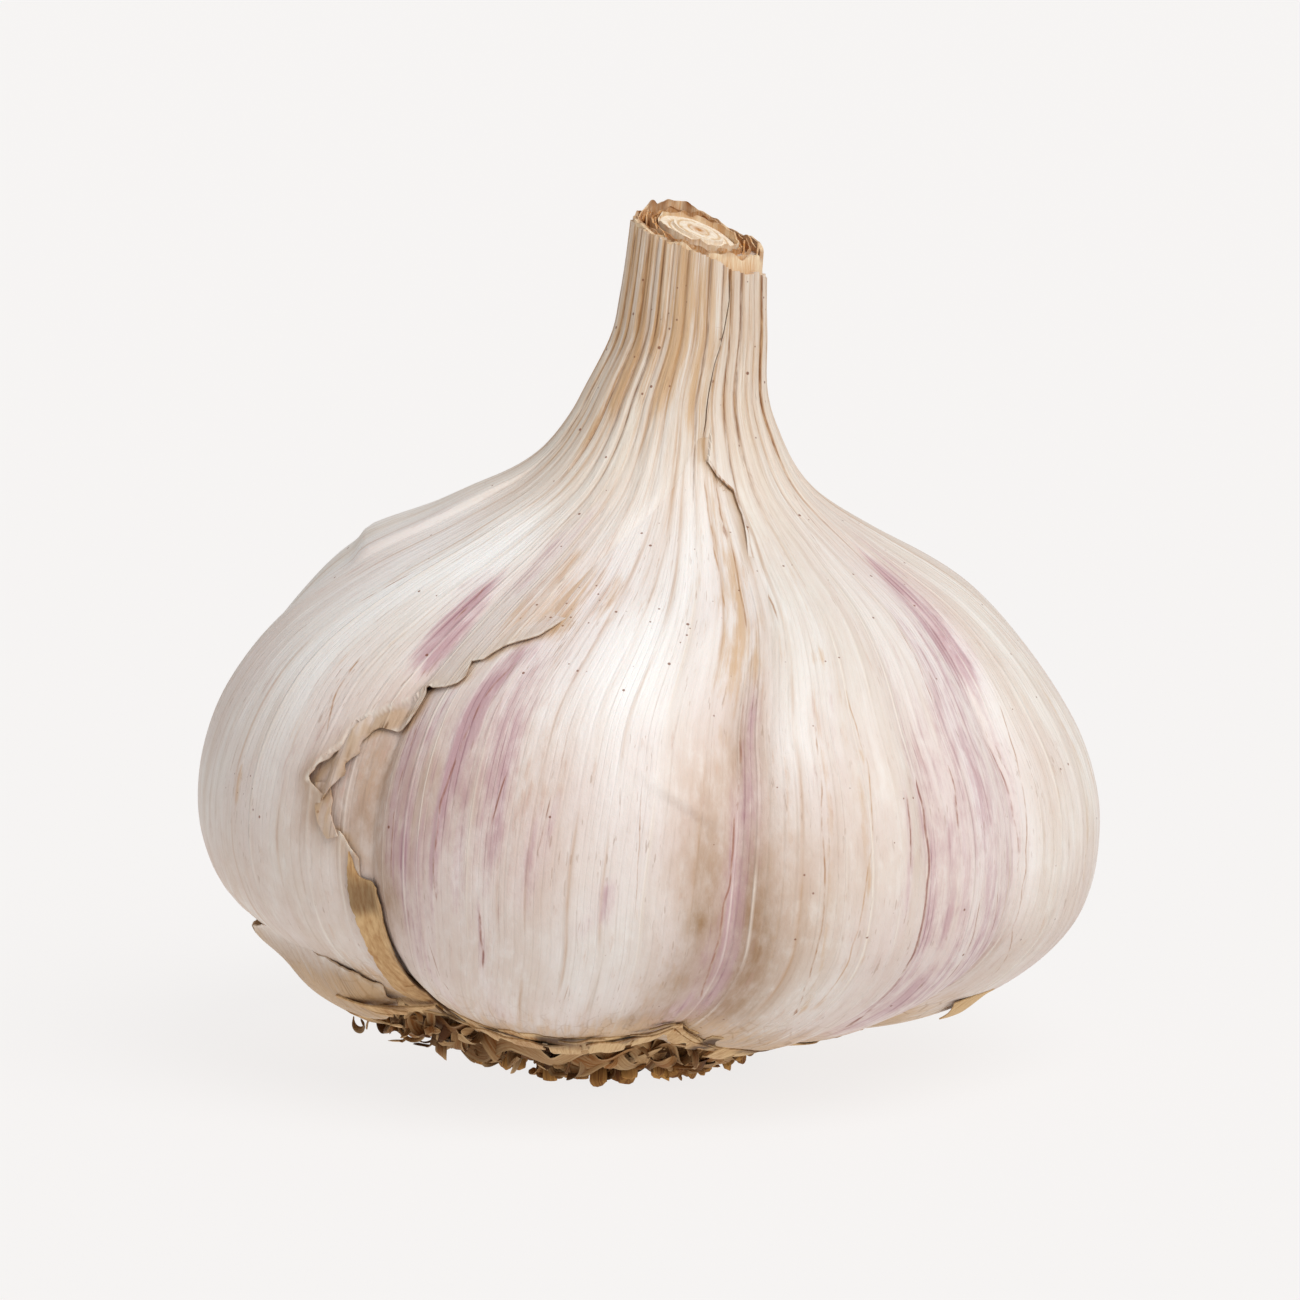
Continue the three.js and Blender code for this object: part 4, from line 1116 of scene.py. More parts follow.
def build_cloves():
    """The cloves in the inner skin, as one closed body from root plate to neck."""
    # The columns are finest where the tear bares the skin.
    columns = np.concatenate([np.arange(-52, 22, 0.35), np.arange(22, 308, 2.6)])
    rows = np.concatenate([
        np.linspace(0.02, 0.11, 5), np.linspace(0.125, 0.8, 165), np.linspace(0.81, 0.965, 22),
    ])
    wide, tall = len(columns), len(rows)
    c, t = np.meshgrid(columns, rows)
    c = along_fibres(c, t)
    lift = inner_lift(c, t) + fibre_lift(c, t)
    points = body_point(c, t, lift).reshape(-1, 3)
    faces = ring_quads(tall, wide).tolist()
    faces += [list(range(wide))[::-1], list(range(wide * (tall - 1), wide * tall))]
    values = {key: v.reshape(-1, 3) for key, v in paint(c, t, False).items()}
    # Painted shade lies brown along the edge of the outer skin, and dust with painted shade lies dark
    # where the front groove meets the roots.
    to_mm = np.radians(spline(t)[0])
    dust_and_shade = foot_dust_and_shade(c, t)
    for side, seam in zip(tear_columns(t), (seam_left(t), seam_right(t))):
        beside = np.abs(turn(side, c)) * to_mm
        edge_shade = 0.7 * bell(beside, 0, 0.45) * smooth(t, 0.4, 0.44) * (1 - seam)
        dust_and_shade = np.maximum(dust_and_shade, edge_shade)
    values["torn"][:, 0] = dust_and_shade.reshape(-1)
    make_piece("clove_skin", (points, faces, values), "air_dried_clove_sheath", "bulb")


# ---- The outer skin ----

# Where the torn edge curls away: column, share, lift in mm, spread in degrees and share.
CURLS = [
    (-29.5, 0.61, 0.03, 5, 0.02), (-35.5, 0.575, 0.07, 3.5, 0.02), (-38, 0.545, 0.12, 3, 0.018),
    (-47.5, 0.485, 0.22, 3, 0.025), (15.5, 0.765, 0.02, 5, 0.03),
]

# Loose shreds under the rolled lip, as columns and shares.
SHRED_FOLD = [
    (-43, 0.549), (-41.6, 0.545), (-42.4, 0.536), (-43.2, 0.524), (-43, 0.512), (-44, 0.5), (-43.9, 0.49),
    (-44.9, 0.477), (-46.2, 0.464), (-47, 0.47), (-46.3, 0.484), (-46.4, 0.5), (-45.4, 0.52),
]
SHRED_END = [
    (-48, 0.478), (-46, 0.481), (-44.9, 0.466), (-44.6, 0.454), (-43, 0.437), (-44.5, 0.433),
    (-46, 0.444), (-47.2, 0.458),
]
# Where the torn edge is rolled back over itself, and how far that lip stands up.
LIP = [
    (-36.5, 0.5775), (-39.5, 0.564), (-41.8, 0.552), (-44.8, 0.535), (-45.2, 0.516), (-47, 0.499),
    (-48.8, 0.478),
]
LIP_HEIGHT = 0.34
# Where the torn edge is scorched brown: column, width in degrees, share, height in share.
SCORCHED = [(-31.6, 1.6, 0.592, 0.008), (-36.8, 1, 0.577, 0.003), (-41.2, 0.6, 0.541, 0.005)]
# Columns and shares between which the torn edge needs the finest mesh, and a little round that.
TORN_WINDOW = ((305, 0.41), (342, 0.65))
WIDER_WINDOW = ((304, 0.4), (343, 0.66))
FINE_REACH = 2.6  # millimetres from the edge over which the outer side is meshed finest
LINING_REACH = 4.5  # and the inner side


def lip_side(column, t):
    """Distance in millimetres from the lip's line, positive on its outer side, and a fade at its ends."""
    at = np.stack([turn(0, column) * MM_PER_DEGREE, np.asarray(t) * MM_PER_SHARE], -1)
    line = flat(LIP)
    far = np.full(np.shape(t), 99.0)
    side = np.zeros(np.shape(t))
    for a, b in zip(line[:-1], line[1:]):
        along = b - a
        share = np.clip(((at - a) * along).sum(-1) / (along @ along), 0, 1)
        off = at - a - share[..., None] * along
        gap = np.hypot(off[..., 0], off[..., 1])
        turned = along[0] * (at[..., 1] - a[1]) - along[1] * (at[..., 0] - a[0])
        near = gap < far
        far = np.where(near, gap, far)
        side = np.where(near, -np.sign(turned), side)
    fade = smooth(t, 0.465, 0.485) * (1 - smooth(t, 0.575, 0.59))
    return far * side, fade


def outer_lift(column, t, edge_gap):
    """Lift of the outer skin; it dives under the inner one where its edge can't be seen."""
    left_side, right_side = tear_columns(t)
    from_left, from_right = turn(column, left_side), turn(right_side, column)
    dive = seam_left(t) * (1 - smooth(from_left, 0, 9)) * (from_left > -4)
    dive = dive + seam_right(t) * (1 - smooth(from_right, 0, 8)) * (from_right > -4)
    curl = sum(
        size * bell(turn(at, column), 0, width) * bell(t, share, spread)
        for at, share, size, width, spread in CURLS
    )
    shown = (1 - seam_left(t)) * (t > 0.4)
    lip = 0.05 * bell(edge_gap, 0, 1.2) * shown
    # A fold over the left shoulder.
    back = turn(column, -84)
    fold = 0.45 * smooth(back, 0, 1.5) * (1 - smooth(back, 25, 50))
    fold = fold * smooth(t, 0.642, 0.656) * (1 - smooth(t, 0.72, 0.79))
    side, fade = lip_side(column, t)
    roll = LIP_HEIGHT * smooth(side, -0.08, 0.1) * np.exp(-np.maximum(side, 0) / 1.6) * fade
    edge_curl = curl * np.exp(-((edge_gap / 2.4) ** 1.5))
    return -0.5 * np.clip(dive, 0, 1) + (edge_curl + roll) * settings().curl + lip + fold


def rim_shares(columns, cut, lift):
    """Share of the outline at which each column meets a knife cut."""
    shares = np.linspace(0.86, 1, 141)
    c, t = np.meshgrid(columns, shares)
    points = body_point(c, t, lift)
    over = points[..., 2] > cut_height(points, cut)
    return shares[np.argmax(over, axis=0)]


def skin_outline():
    """Flat outline of the outer skin, from its foot up the right side and back, and its torn part."""
    left = ragged(flat(TEAR_LEFT[FINE_FROM:FINE_TO + 1]), 0.22, 0.13, 5, TEAR_WAVES)
    left_up = ragged(flat(TEAR_LEFT[1:FINE_FROM + 1]), 0.5, 0.05, 6)
    left_down = ragged(flat(TEAR_LEFT[FINE_TO:-1] + [(-39, SKIN_BASE)]), 0.4, 0.3, 7)
    right = ragged(flat([(15, SKIN_BASE)] + TEAR_RIGHT[1:-1]), 0.3, 0.1, 8, TEAR_WAVES)
    rim_columns = np.arange(TEAR_RIGHT[-2][0], TEAR_LEFT[1][0] + 360, 0.9)
    rim = np.stack([rim_columns, rim_shares(rim_columns, CUT_OUTER, 0)], 1)
    base_columns = np.arange(-40, -344, -2.0)
    base = np.stack([base_columns + 360, np.full(len(base_columns), SKIN_BASE)], 1)
    tear = np.concatenate([left_up[:-1], left[:-1], left_down]) + (360 * MM_PER_DEGREE, 0)
    border = np.concatenate([right, flat(rim)[1:-1], tear, flat(base)[1:-1]])
    return border, np.concatenate([right, tear])


def window_grid(column_step, share_step):
    """Flat points that fill the window of the torn edge."""
    (left, low), (right, high) = TORN_WINDOW
    return flat(grid_of(np.arange(left, right, column_step), np.arange(low, high, share_step)))


def within(points, low, high):
    """Which flat points lie between two corners given as column and share."""
    return ((points > flat(low)) & (points < flat(high))).all(1)


def outer_points(border, tree):
    """Points of the outer side: rows along the fibres, and a finer grid by the torn edge."""
    columns = np.concatenate([
        np.arange(4, 104, 0.62), np.arange(104, 252, 1.35), np.arange(252, 372, 0.62),
    ])
    rows = np.concatenate([
        np.arange(0.125, 0.64, 0.0068), np.arange(0.64, 0.84, 0.0058), np.arange(0.84, 0.995, 0.0085),
    ])
    c, t = np.meshgrid(columns, rows)
    grid = flat(np.stack([along_fibres(c, t), t], -1).reshape(-1, 2))
    gap = gaps_to(tree, grid)
    grid = grid[(gap > 0.2) & ~(within(grid, *TORN_WINDOW) & (gap < FINE_REACH + 0.1))]
    dense = window_grid(0.4, 0.0026)
    gap = gaps_to(tree, dense)
    dense = dense[(gap < FINE_REACH) & (gap > 0.12)]
    return clear_of(np.concatenate([grid, dense]), border, 0.12)


def lining_points(border, tree):
    """Points of the hidden inner side: a wide grid with every groove on it, finer by the torn edge."""
    columns = np.union1d(np.arange(5, 372, 3.0), GROOVES[:, 0] % 360)
    wide = clear_of(flat(grid_of(columns, np.arange(0.14, 0.98, 0.02))), border, 0.6)
    wide = wide[~(within(wide, *WIDER_WINDOW) & (gaps_to(tree, wide) < LINING_REACH + 0.1))]
    fine = window_grid(0.9, 0.005)
    gap = gaps_to(tree, fine)
    fine = fine[(gap < LINING_REACH) & (gap > 0.3)]
    return np.concatenate([wide, clear_of(fine, border, 0.25)])


def shred(outline, seed, lift):
    """A loose shred of the outer skin: lift gives its height over a column and share."""
    line = closed_line(outline, 0.16, 0.1, seed, SHRED_WAVES)

    def surface(points, under):
        c, t = unflat(points)
        values = paint(c, t, True)
        rough = noise(c * 4, t, 260, 90, seed + 1)
        values["torn"][:, 0] = 0.15 + 0.5 * smooth(rough, 0.3, 0.8) + 0.3 * under
        values["torn"][:, 2] = 0.7 * smooth(noise(c * 4, t, 500, 20, seed + 2), 0.58, 0.75)
        return body_point(c, t, lift(turn(0, c), t) + 0.06 * (rough - 0.5) - 0.1 * under), values

    return patch(line, (0.25, 0.25), 0.1, surface)


def build_outer_skin():
    """The outer skin: a closed sheet torn along its outline, with a rolled lip and two shreds."""
    thick = settings().skin_thickness / MM
    border, edge = skin_outline()
    tree = tree_of(edge)

    def outside(points):
        c, t = unflat(points)
        gap = gaps_to(tree, points)
        lift = outer_lift(c, t, gap) + fibre_lift(c, t)
        values = paint(c, t, True)
        torn = values["torn"]
        shown = (1 - seam_left(t)) * smooth(t, 0.3, 0.42)
        side, fade = lip_side(c, t)
        # The fold beside the rolled lip is painted tan, with a dark line low in it, as shade under the
        # lip.
        fold = smooth(-side, 0.0, 0.12) * (1 - smooth(-side, 1.3, 1.9)) * fade
        fold = fold * (1 - smooth(t, 0.555, 0.565))
        dust_and_shade = np.maximum(0.3 * bell(gap, 0, 1.1) * shown, 0.6 * fold)
        torn[:, 0] = np.maximum(dust_and_shade, foot_dust_and_shade(c, t))
        # pale: a paler torn rim, with a painted highlight along the rolled lip.
        pale = 0.7 * bell(gap, 0, 0.2) * shown
        torn[:, 1] = np.maximum(pale * (1 - fold), 0.7 * bell(side, 0.12, 0.12) * fade)
        scorch = sum(
            bell(turn(at, c), 0, width) * bell(t, share, height) for at, width, share, height in SCORCHED
        )
        scorch = (scorch + 0.8 * bell(side, -1.15, 0.16) * fold) * bell(gap, 0, 0.5)
        torn[:, 2] += np.clip(scorch + 0.5 * bell(side, -1.1, 0.15) * fold, 0, 1)
        return body_point(c, t, lift), values

    def inside(points):
        c, t = unflat(points)
        gap = gaps_to(tree, points)
        near = bell(gap, 0, 1.0)
        wall = mix(thick, 0.3, smooth(t, 0.86, 0.95))
        wall = wall + (1 - near) * mix(0.32, 0.55, smooth(t, 0.62, 0.7))
        lift = outer_lift(c, t, gap) + near * fibre_lift(c, t) - wall
        values = paint(c, t, True)
        values["torn"][:, 0] = 0.8
        return body_point(c, t, lift), values

    part = merge([
        sheet(border, outer_points(border, tree), lining_points(border, tree), outside, inside),
        shred(SHRED_FOLD, 471, lambda c, t: -0.05 + 0.5 * bell(c, -44.6 - 14 * (0.51 - t), 1.1)),
        shred(SHRED_END, 474, lambda c, t: 0.02 + 0.3 * smooth(-t, -0.47, -0.445)),
    ])
    make_piece("outer_skin_sheet", part, "air_dried_outer_sheath", "outer_skin")


# ---- The cut neck ----

PROBE_Z = 56.0  # height on the neck's axis from which its cuts are measured
NECK_FOOT_Z = 47.5
RIM_FOOT_Z = 46.3
PLUG_FOOT_Z = 46.6


def wall_ring(radius, thickness, cut, waves, wobble, seed, tone, low=NECK_FOOT_Z):
    """A crumpled leaf sheath standing in the neck, cut off on a slant."""
    columns = np.arange(0, 360, 1.5)
    levels = np.concatenate([np.linspace(0, 0.8, 8), np.linspace(0.86, 1, 5)])
    crumple = wobble * 2 * (noise(columns, 0.3, waves, 1, seed) - 0.5)
    crumple = crumple + 0.06 * (noise(columns, 0.3, 60, 1, seed + 1) - 0.5)
    wall = thickness * mix(0.6, 1.4, noise(columns, 0.6, waves + 3, 1, seed + 2))
    probe = place(columns, radius + crumple, PROBE_Z)
    top = cut_height(probe, cut, seed) - probe[:, 2] + PROBE_Z
    angle = np.radians(columns)
    points, shades, grains = [], [], []
    for side, level in [(0, level) for level in levels] + [(1, level) for level in levels[::-1]]:
        z = mix(low, top, level)
        r = radius + crumple - side * wall + 0.05 * np.sin(6 * level + columns / 40)
        points.append(place(columns, r, z))
        base = tone + 0.45 * (noise(columns, level, 40, 3, seed + 3) - 0.5)
        # Painted shade: each sheath darker on its inner face and further down in the neck, between the
        # sheaths; its browned top is the cut's own colour.
        base = mix(base, tone + 0.1, smooth(level, 0.93, 1)) - 0.2 * side
        browned = smooth(noise(columns, 0.5, 44, 1, seed + 5), 0.4, 0.65)
        dark = 0.65 * smooth(1 - level, 0.12, 0.6) * (0.4 + 0.6 * side)
        dark = dark + 0.5 * smooth(level, 0.955, 1) * browned
        dark = dark + 0.5 * smooth(noise(columns, level, 30, 2, seed + 4), 0.6, 0.85) * side
        shades.append(tones(base, dark))
        grains.append(np.stack([r * np.cos(angle) * 2, r * np.sin(angle) * 2, z + 0 * angle], 1))
    values = {"tone": np.concatenate(shades), "grain": np.concatenate(grains)}
    return np.concatenate(points), ring_quads(len(points), len(columns), True), values


RING_GAP = 5  # every fifth circle of the cut face is a brown ring of growth


def cut_disc(radius, cut, sink, rings, seed, core):
    """A closed plug whose top face is a slanted knife cut with low growth rings."""
    columns = np.arange(0, 360, 5.0)
    count = len(columns)
    radii = np.linspace(0, radius, rings + 1)[1:]
    middle = place(np.array([0.0]), 0.0, PROBE_Z)
    parts = [place(np.array([0.0]), 0.0, cut_height(middle, cut, seed)[0] - sink)]
    shades = [[[0.2, core, 0]]]
    for k, r in enumerate(radii):
        wobble = 1 + 0.06 * (noise(columns, 0.5, 7, 1, seed + k // 3) - 0.5)
        probe = place(columns, r * wobble, PROBE_Z)
        z = cut_height(probe, (*cut[:3], 0.0), seed) - sink
        old_ring = k % RING_GAP == RING_GAP - 1
        z = z - 0.08 * old_ring + 0.1 * (noise(columns, k / rings, 24, 6, seed + 9) - 0.5)
        parts.append(place(columns, r * wobble, z))
        ring = 0.95 - 0.75 * old_ring - 0.32 * noise(columns, k / rings, 18, 5, seed + 5)
        dark = 0.35 * old_ring + core * bell(r, 0, 0.48)
        dark = dark + 0.25 * smooth(noise(columns, k / rings, 12, 4, seed + 7), 0.7, 0.9)
        shades.append(np.stack([ring, dark, 0 * ring], 1))
    parts.append(place(columns, radii[-1], PLUG_FOOT_Z))
    shades.append(np.tile([0.3, 0.5, 0], (count, 1)))
    points = np.concatenate(parts)
    this = np.arange(count)
    faces = [[0, 1 + a, 1 + b] for a, b in zip(this, (this + 1) % count)]
    faces += (1 + ring_quads(rings + 1, count)[:, [0, 3, 2, 1]]).tolist()
    faces.append((1 + rings * count + this).tolist())
    return points, faces, {"tone": np.concatenate(shades), "grain": points * (1, 1, 0.4)}


def ring_triangles(part):
    """The same part with its faces cut into triangles, so that it can be merged."""
    points, faces, values = part
    cut = [(face[0], face[k], face[k + 1]) for face in faces for k in range(1, len(face) - 1)]
    return points, np.array(cut), values


# The sheaths of the neck: radius, thickness, cut, waves round it, crumpling, seed, tone.
NECK_SHEATHS = [
    (4.42, 0.22, (*CUT_MIDDLE[:3], 0.5), 9, 0.14, 101, 0.72),
    (4.12, 0.09, (57.55, 0.3, 0.2, 0.6), 8, 0.2, 141, 0.45),
    (3.86, 0.14, (57.45, 0.3, 0.2, 0.5), 7, 0.3, 111, 0.12),
    (3.62, 0.09, (57.65, 0.3, 0.2, 0.6), 9, 0.24, 145, 0.4),
    (3.36, 0.12, (57.6, 0.3, 0.2, 0.5), 8, 0.26, 121, 0.2),
    (3.08, 0.12, (57.75, 0.3, 0.2, 0.35), 6, 0.16, 126, 0.3),
]


def build_neck():
    """The crumpled sheaths, the innermost ring with its rim, the stalk and the pith below them."""
    sheaths = merge([wall_ring(*sheath) for sheath in NECK_SHEATHS])
    make_piece("neck_middle_sheaths", sheaths, "knife_cut_leaf_sheath", "bulb")
    ring = merge([
        ring_triangles(cut_disc(2.72, CUT_INNER, 0.12, 20, 131, 0.0)),
        ring_triangles(wall_ring(2.8, 0.1, (57.95, 0.3, 0.2, 0.2), 5, 0.05, 135, 0.35, RIM_FOOT_Z)),
    ])
    make_piece("inner_sheath_ring", ring, "knife_cut_stalk_pith", "inner_sheath")
    stalk = cut_disc(1.72, CUT_STALK, 0.14, 12, 151, 0.95)
    make_piece("cut_stalk", stalk, "knife_cut_stalk_pith", "flower_stalk")
    points, faces, values = cut_disc(4.1, CUT_MIDDLE, 1.5, 14, 161, 0.9)
    blots = noise(points[:, 0] * 40, points[:, 1] / 10 + 0.5, 60, 20, 162)
    values["tone"][:, 0] = 0.15
    values["tone"][:, 1] = np.clip(0.45 + 0.5 * (blots - 0.3), 0, 1)
    make_piece("neck_pith_bed", (points, faces, values), "knife_cut_leaf_sheath", "bulb")


# ---- Strands: roots and curled scales ----

def strand(path, width, flatness, side, sides):
    """Closed strand along a path: widest width, thickness over width, where its width points, sides.

    Returns its points, its faces and its coordinates along the fibres.
    """
    path = np.asarray(path, float)
    share = np.linspace(0, 1, len(path))
    # The last seventh narrows to a rounded tip.
    taper = np.sqrt(np.clip(1 - (np.clip(share - 0.86, 0, 1) / 0.142) ** 2, 0.02, 1))
    widths = width * taper
    along = np.gradient(path, axis=0)
    along /= np.linalg.norm(along, axis=1)[:, None]
    side = side - (side * along).sum(1)[:, None] * along
    side /= np.maximum(np.linalg.norm(side, axis=1), 1e-6)[:, None]
    over = np.cross(along, side)
    angles = np.arange(sides) * 2 * math.pi / sides
    across = np.cos(angles)[None, :, None] * widths[:, None, None] / 2
    through = np.sin(angles)[None, :, None] * (widths * flatness)[:, None, None] / 2
    ring = path[:, None] + side[:, None] * across + over[:, None] * through
    rows = len(path)
    points = np.concatenate([ring.reshape(-1, 3), path[[0, -1]]])
    steps = np.concatenate([[0], np.cumsum(np.linalg.norm(np.diff(path, axis=0), axis=1))])
    u = np.tile(np.cos(angles) * width, rows)
    v = np.tile(np.sin(angles) * width * flatness, rows)
    local = np.concatenate([
        np.stack([u, v, np.repeat(steps, sides)], 1), [[0, 0, 0], [0, 0, steps[-1]]],
    ])
    return points, tube_triangles(rows, sides), local


def curled_path(start, heading, bend, pitch, length, steps=12):
    """A path that leaves start along a heading and curls: bend turns it sideways, pitch down or up."""
    share = np.linspace(0, 1, steps)
    turned = np.radians(heading + bend * share ** 1.3)
    tilt = np.radians(pitch[0] + (pitch[1] - pitch[0]) * share)
    step = length / (steps - 1)
    move = np.stack([np.cos(turned) * np.cos(tilt), np.sin(turned) * np.cos(tilt), np.sin(tilt)], 1)
    return start + np.concatenate([[[0, 0, 0]], np.cumsum((move * step)[:-1], axis=0)])


def shaving_path(middle, axis, radius, sweep, turn_start, stretch, steps=18):
    """An arc like a wood shaving round an axis; it widens as it goes and may be stretched along it."""
    axis = axis / np.linalg.norm(axis)
    first = np.cross(axis, [0.13, 0.31, 1.0])
    first /= np.linalg.norm(first)
    second = np.cross(axis, first)
    share = np.linspace(0, 1, steps)
    angle = turn_start + sweep * share
    reach = radius * (0.65 + 0.6 * share)
    flat_arc = first * np.cos(angle)[:, None] + second * np.sin(angle)[:, None]
    return middle + flat_arc * reach[:, None] + axis * (stretch * (share - 0.5))[:, None]


def strand_part(path, width, flatness, lie, sides, low, tone, dark, draw):
    """A strand kept above a height, with painted shade towards its start and painted highlights along its
    edges, for merging.
    """
    points, faces, local = strand(path, width, flatness, lie, sides)
    points[:, 2] = np.maximum(points[:, 2], low)
    length = max(local[:, 2].max(), 1e-6)
    edge = np.abs(local[:, 0]) / max(np.abs(local[:, 0]).max(), 1e-6)
    base = tone + 0.45 * smooth(edge, 0.6, 1) - 0.1 + 0.2 * local[:, 2] / length
    shade = np.clip(dark * (1 - local[:, 2] / length) ** 0.7, 0, 1)
    return points, faces, {"tone": tones(base, shade), "grain": local + draw.uniform(-50, 50, 3)}


PLATE_OFFSET_X = 1.2  # millimetres
PLATE = [  # radius and height of the matted root plate
    (1.2, 1.1), (2.6, 1.0), (4.0, 1.0), (5.3, 0.9), (6.4, 0.9), (7.2, 1.4), (9.4, 1.9), (10.2, 2.8),
    (10.0, 3.9),
]
PLATE_ROOTS = 90  # stumps under the plate, seen only from below
ROOT_RINGS = (8.3, 7.2, 5.8, 4.0)  # radii on which the roots stand
ROOT_SHARES = (0.42, 0.3, 0.18, 0.1)  # of the roots on each


def root_plate():
    """The root plate as a closed, lumpy disc with an uneven tone."""
    columns = np.arange(0, 360, 4.0)
    rings, blots = [], []
    for k, (r, z) in enumerate(PLATE):
        lump = 1 + 0.06 * (noise(columns, k / 6, 30, 4, 201) - 0.5)
        blots.append(noise(columns, k / len(PLATE), 26, 6, 202))
        rings.append(place(columns, r * lump, z + 0.9 * (blots[-1] - 0.5) * (r < 7), PLATE_OFFSET_X))
    points = np.concatenate([*rings, [rings[0].mean(0)], [rings[-1].mean(0)]])
    tone = np.zeros((len(points), 3))
    tone[:-2, 0] = 0.6 * np.concatenate(blots)
    tone[:-2, 1] = 0.9 - 0.5 * np.concatenate(blots)
    return points, tube_triangles(len(PLATE), len(columns)), {"tone": tone, "grain": points}


def build_roots():
    """The root plate, the cropped roots round it and the stumps under it."""
    draw = np.random.default_rng(SEED)
    parts = [root_plate()]
    total = settings().root_count
    for k in range(total + PLATE_ROOTS):
        ring = draw.choice(len(ROOT_RINGS), p=ROOT_SHARES)
        radius = ROOT_RINGS[ring] + draw.uniform(-0.5, 0.5)
        if k >= total:
            radius = draw.uniform(0.6, 6.2)
        azimuth = 360 * (k * 7 + draw.uniform(-1, 1)) / total % 360
        start = place(azimuth, radius, draw.uniform(1.8, 2.8))
        outward = azimuth - 90 + draw.normal(0, 30)
        pitch = (draw.uniform(-60, -15), draw.uniform(-110, -70))
        path = curled_path(start, outward, draw.normal(0, 40), pitch, draw.uniform(1.9, 3.0))
        width = draw.uniform(0.75, 1.5)
        flatness = draw.uniform(0.55, 0.9)
        path[:, 2] = np.maximum(path[:, 2], 0.5 * width * flatness + 0.03)
        sideways = np.radians(azimuth + draw.normal(0, 15))
        lie = np.tile([np.cos(sideways), np.sin(sideways), draw.normal(0, 0.5)], (len(path), 1))
        tone, dark = draw.uniform(0, 0.6), draw.uniform(0.6, 1.2)
        parts.append(strand_part(path, width, flatness, lie, 10, 0.0, tone, dark, draw))
    make_piece("root_tuft_fibres", merge(parts), "cropped_dry_root_fibre", "root_tuft")


# ---- What is left of the old wrapper ----

def closed_line(points, step, size, seed, waves=WRAPPER_WAVES):
    """A torn closed outline in the flat plane, from columns and shares."""
    return ragged(flat(list(points) + [points[0]]), step, size, seed, waves)[:-1]


def scale_patch(border, lift, thick, tone, dark, step):
    """A thin scale over a flat outline: lift gives its height over a column and share."""
    tree = tree_of(border)

    def surface(points, under):
        c, t = unflat(points)
        out = lift(c, t) + 0.5 * fibre_lift(c, t) - thick * under
        gap = gaps_to(tree, points)
        base = tone + 0.5 * (noise(c, t, 160, 14, 301) - 0.5) + 0.15 * bell(gap, 0, 0.3)
        shade = dark * smooth(noise(c, t, 90, 24, 302), 0.45, 0.9) + 0.35 * under
        return body_point(c, t, out), {"tone": tones(base, shade), "grain": grain(c, t)}

    return patch(border, (step, step), 0.35 * step, surface)


# Outlines of the larger remains, as columns and shares.
FLAKE = [
    (-104, 0.205), (-92, 0.192), (-80, 0.194), (-68, 0.19), (-58, 0.195), (-50, 0.19), (-46, 0.205),
    (-45, 0.235), (-47, 0.262), (-52, 0.284), (-60, 0.298), (-68, 0.306), (-73, 0.298), (-76, 0.284),
    (-82, 0.284), (-92, 0.278), (-104, 0.26), (-112, 0.235),
]
STRIP = [
    (-41.5, 0.425), (-40.2, 0.4), (-37.5, 0.392), (-37.0, 0.36), (-36.9, 0.329), (-36.4, 0.276),
    (-37.3, 0.235), (-39.5, 0.18), (-36, 0.14), (-44, 0.14), (-44.0, 0.19), (-43.4, 0.23),
    (-41.6, 0.28), (-41.4, 0.33), (-41.9, 0.38),
]
RIGHT_CORNER = [
    (64.5, 0.27), (68, 0.282), (71.6, 0.291), (72.2, 0.272), (73.0, 0.25), (70, 0.246), (67, 0.259),
]
# Narrow dried shreds lying on the foot of the front cloves: ends, width and lift in millimetres.
SHREDS = [
    ((-25.5, 0.209), (-15, 0.199), 0.75, 0.16), ((-17, 0.201), (-5, 0.196), 0.85, 0.22),
    ((-41, 0.232), (-33, 0.196), 0.8, 0.25), ((-35, 0.215), (-26, 0.196), 0.6, 0.3),
    ((-4, 0.203), (8, 0.212), 0.9, 0.12), ((3, 0.232), (11, 0.226), 0.5, 0.14),
    ((7, 0.222), (17, 0.205), 1.0, 0.2), ((9, 0.243), (13.5, 0.215), 0.6, 0.16),
    ((12, 0.206), (24, 0.192), 0.8, 0.15), ((20, 0.198), (33, 0.187), 0.7, 0.1),
    ((-9, 0.215), (-1, 0.222), 0.45, 0.08), ((5.5, 0.25), (9.5, 0.236), 0.4, 0.1),
    ((-60, 0.212), (-46, 0.196), 1.3, 2.0), ((-54, 0.236), (-43, 0.205), 1.0, 2.0),
    ((-64, 0.196), (-50, 0.186), 1.1, 2.2), ((-49, 0.214), (-38, 0.192), 0.9, 1.2),
]
LEFT_SHAVINGS = 130  # more shavings at the left, where the wrapper spreads
LONG_SHAVINGS = 30
FRONT_SHAVINGS = 20  # of the long ones


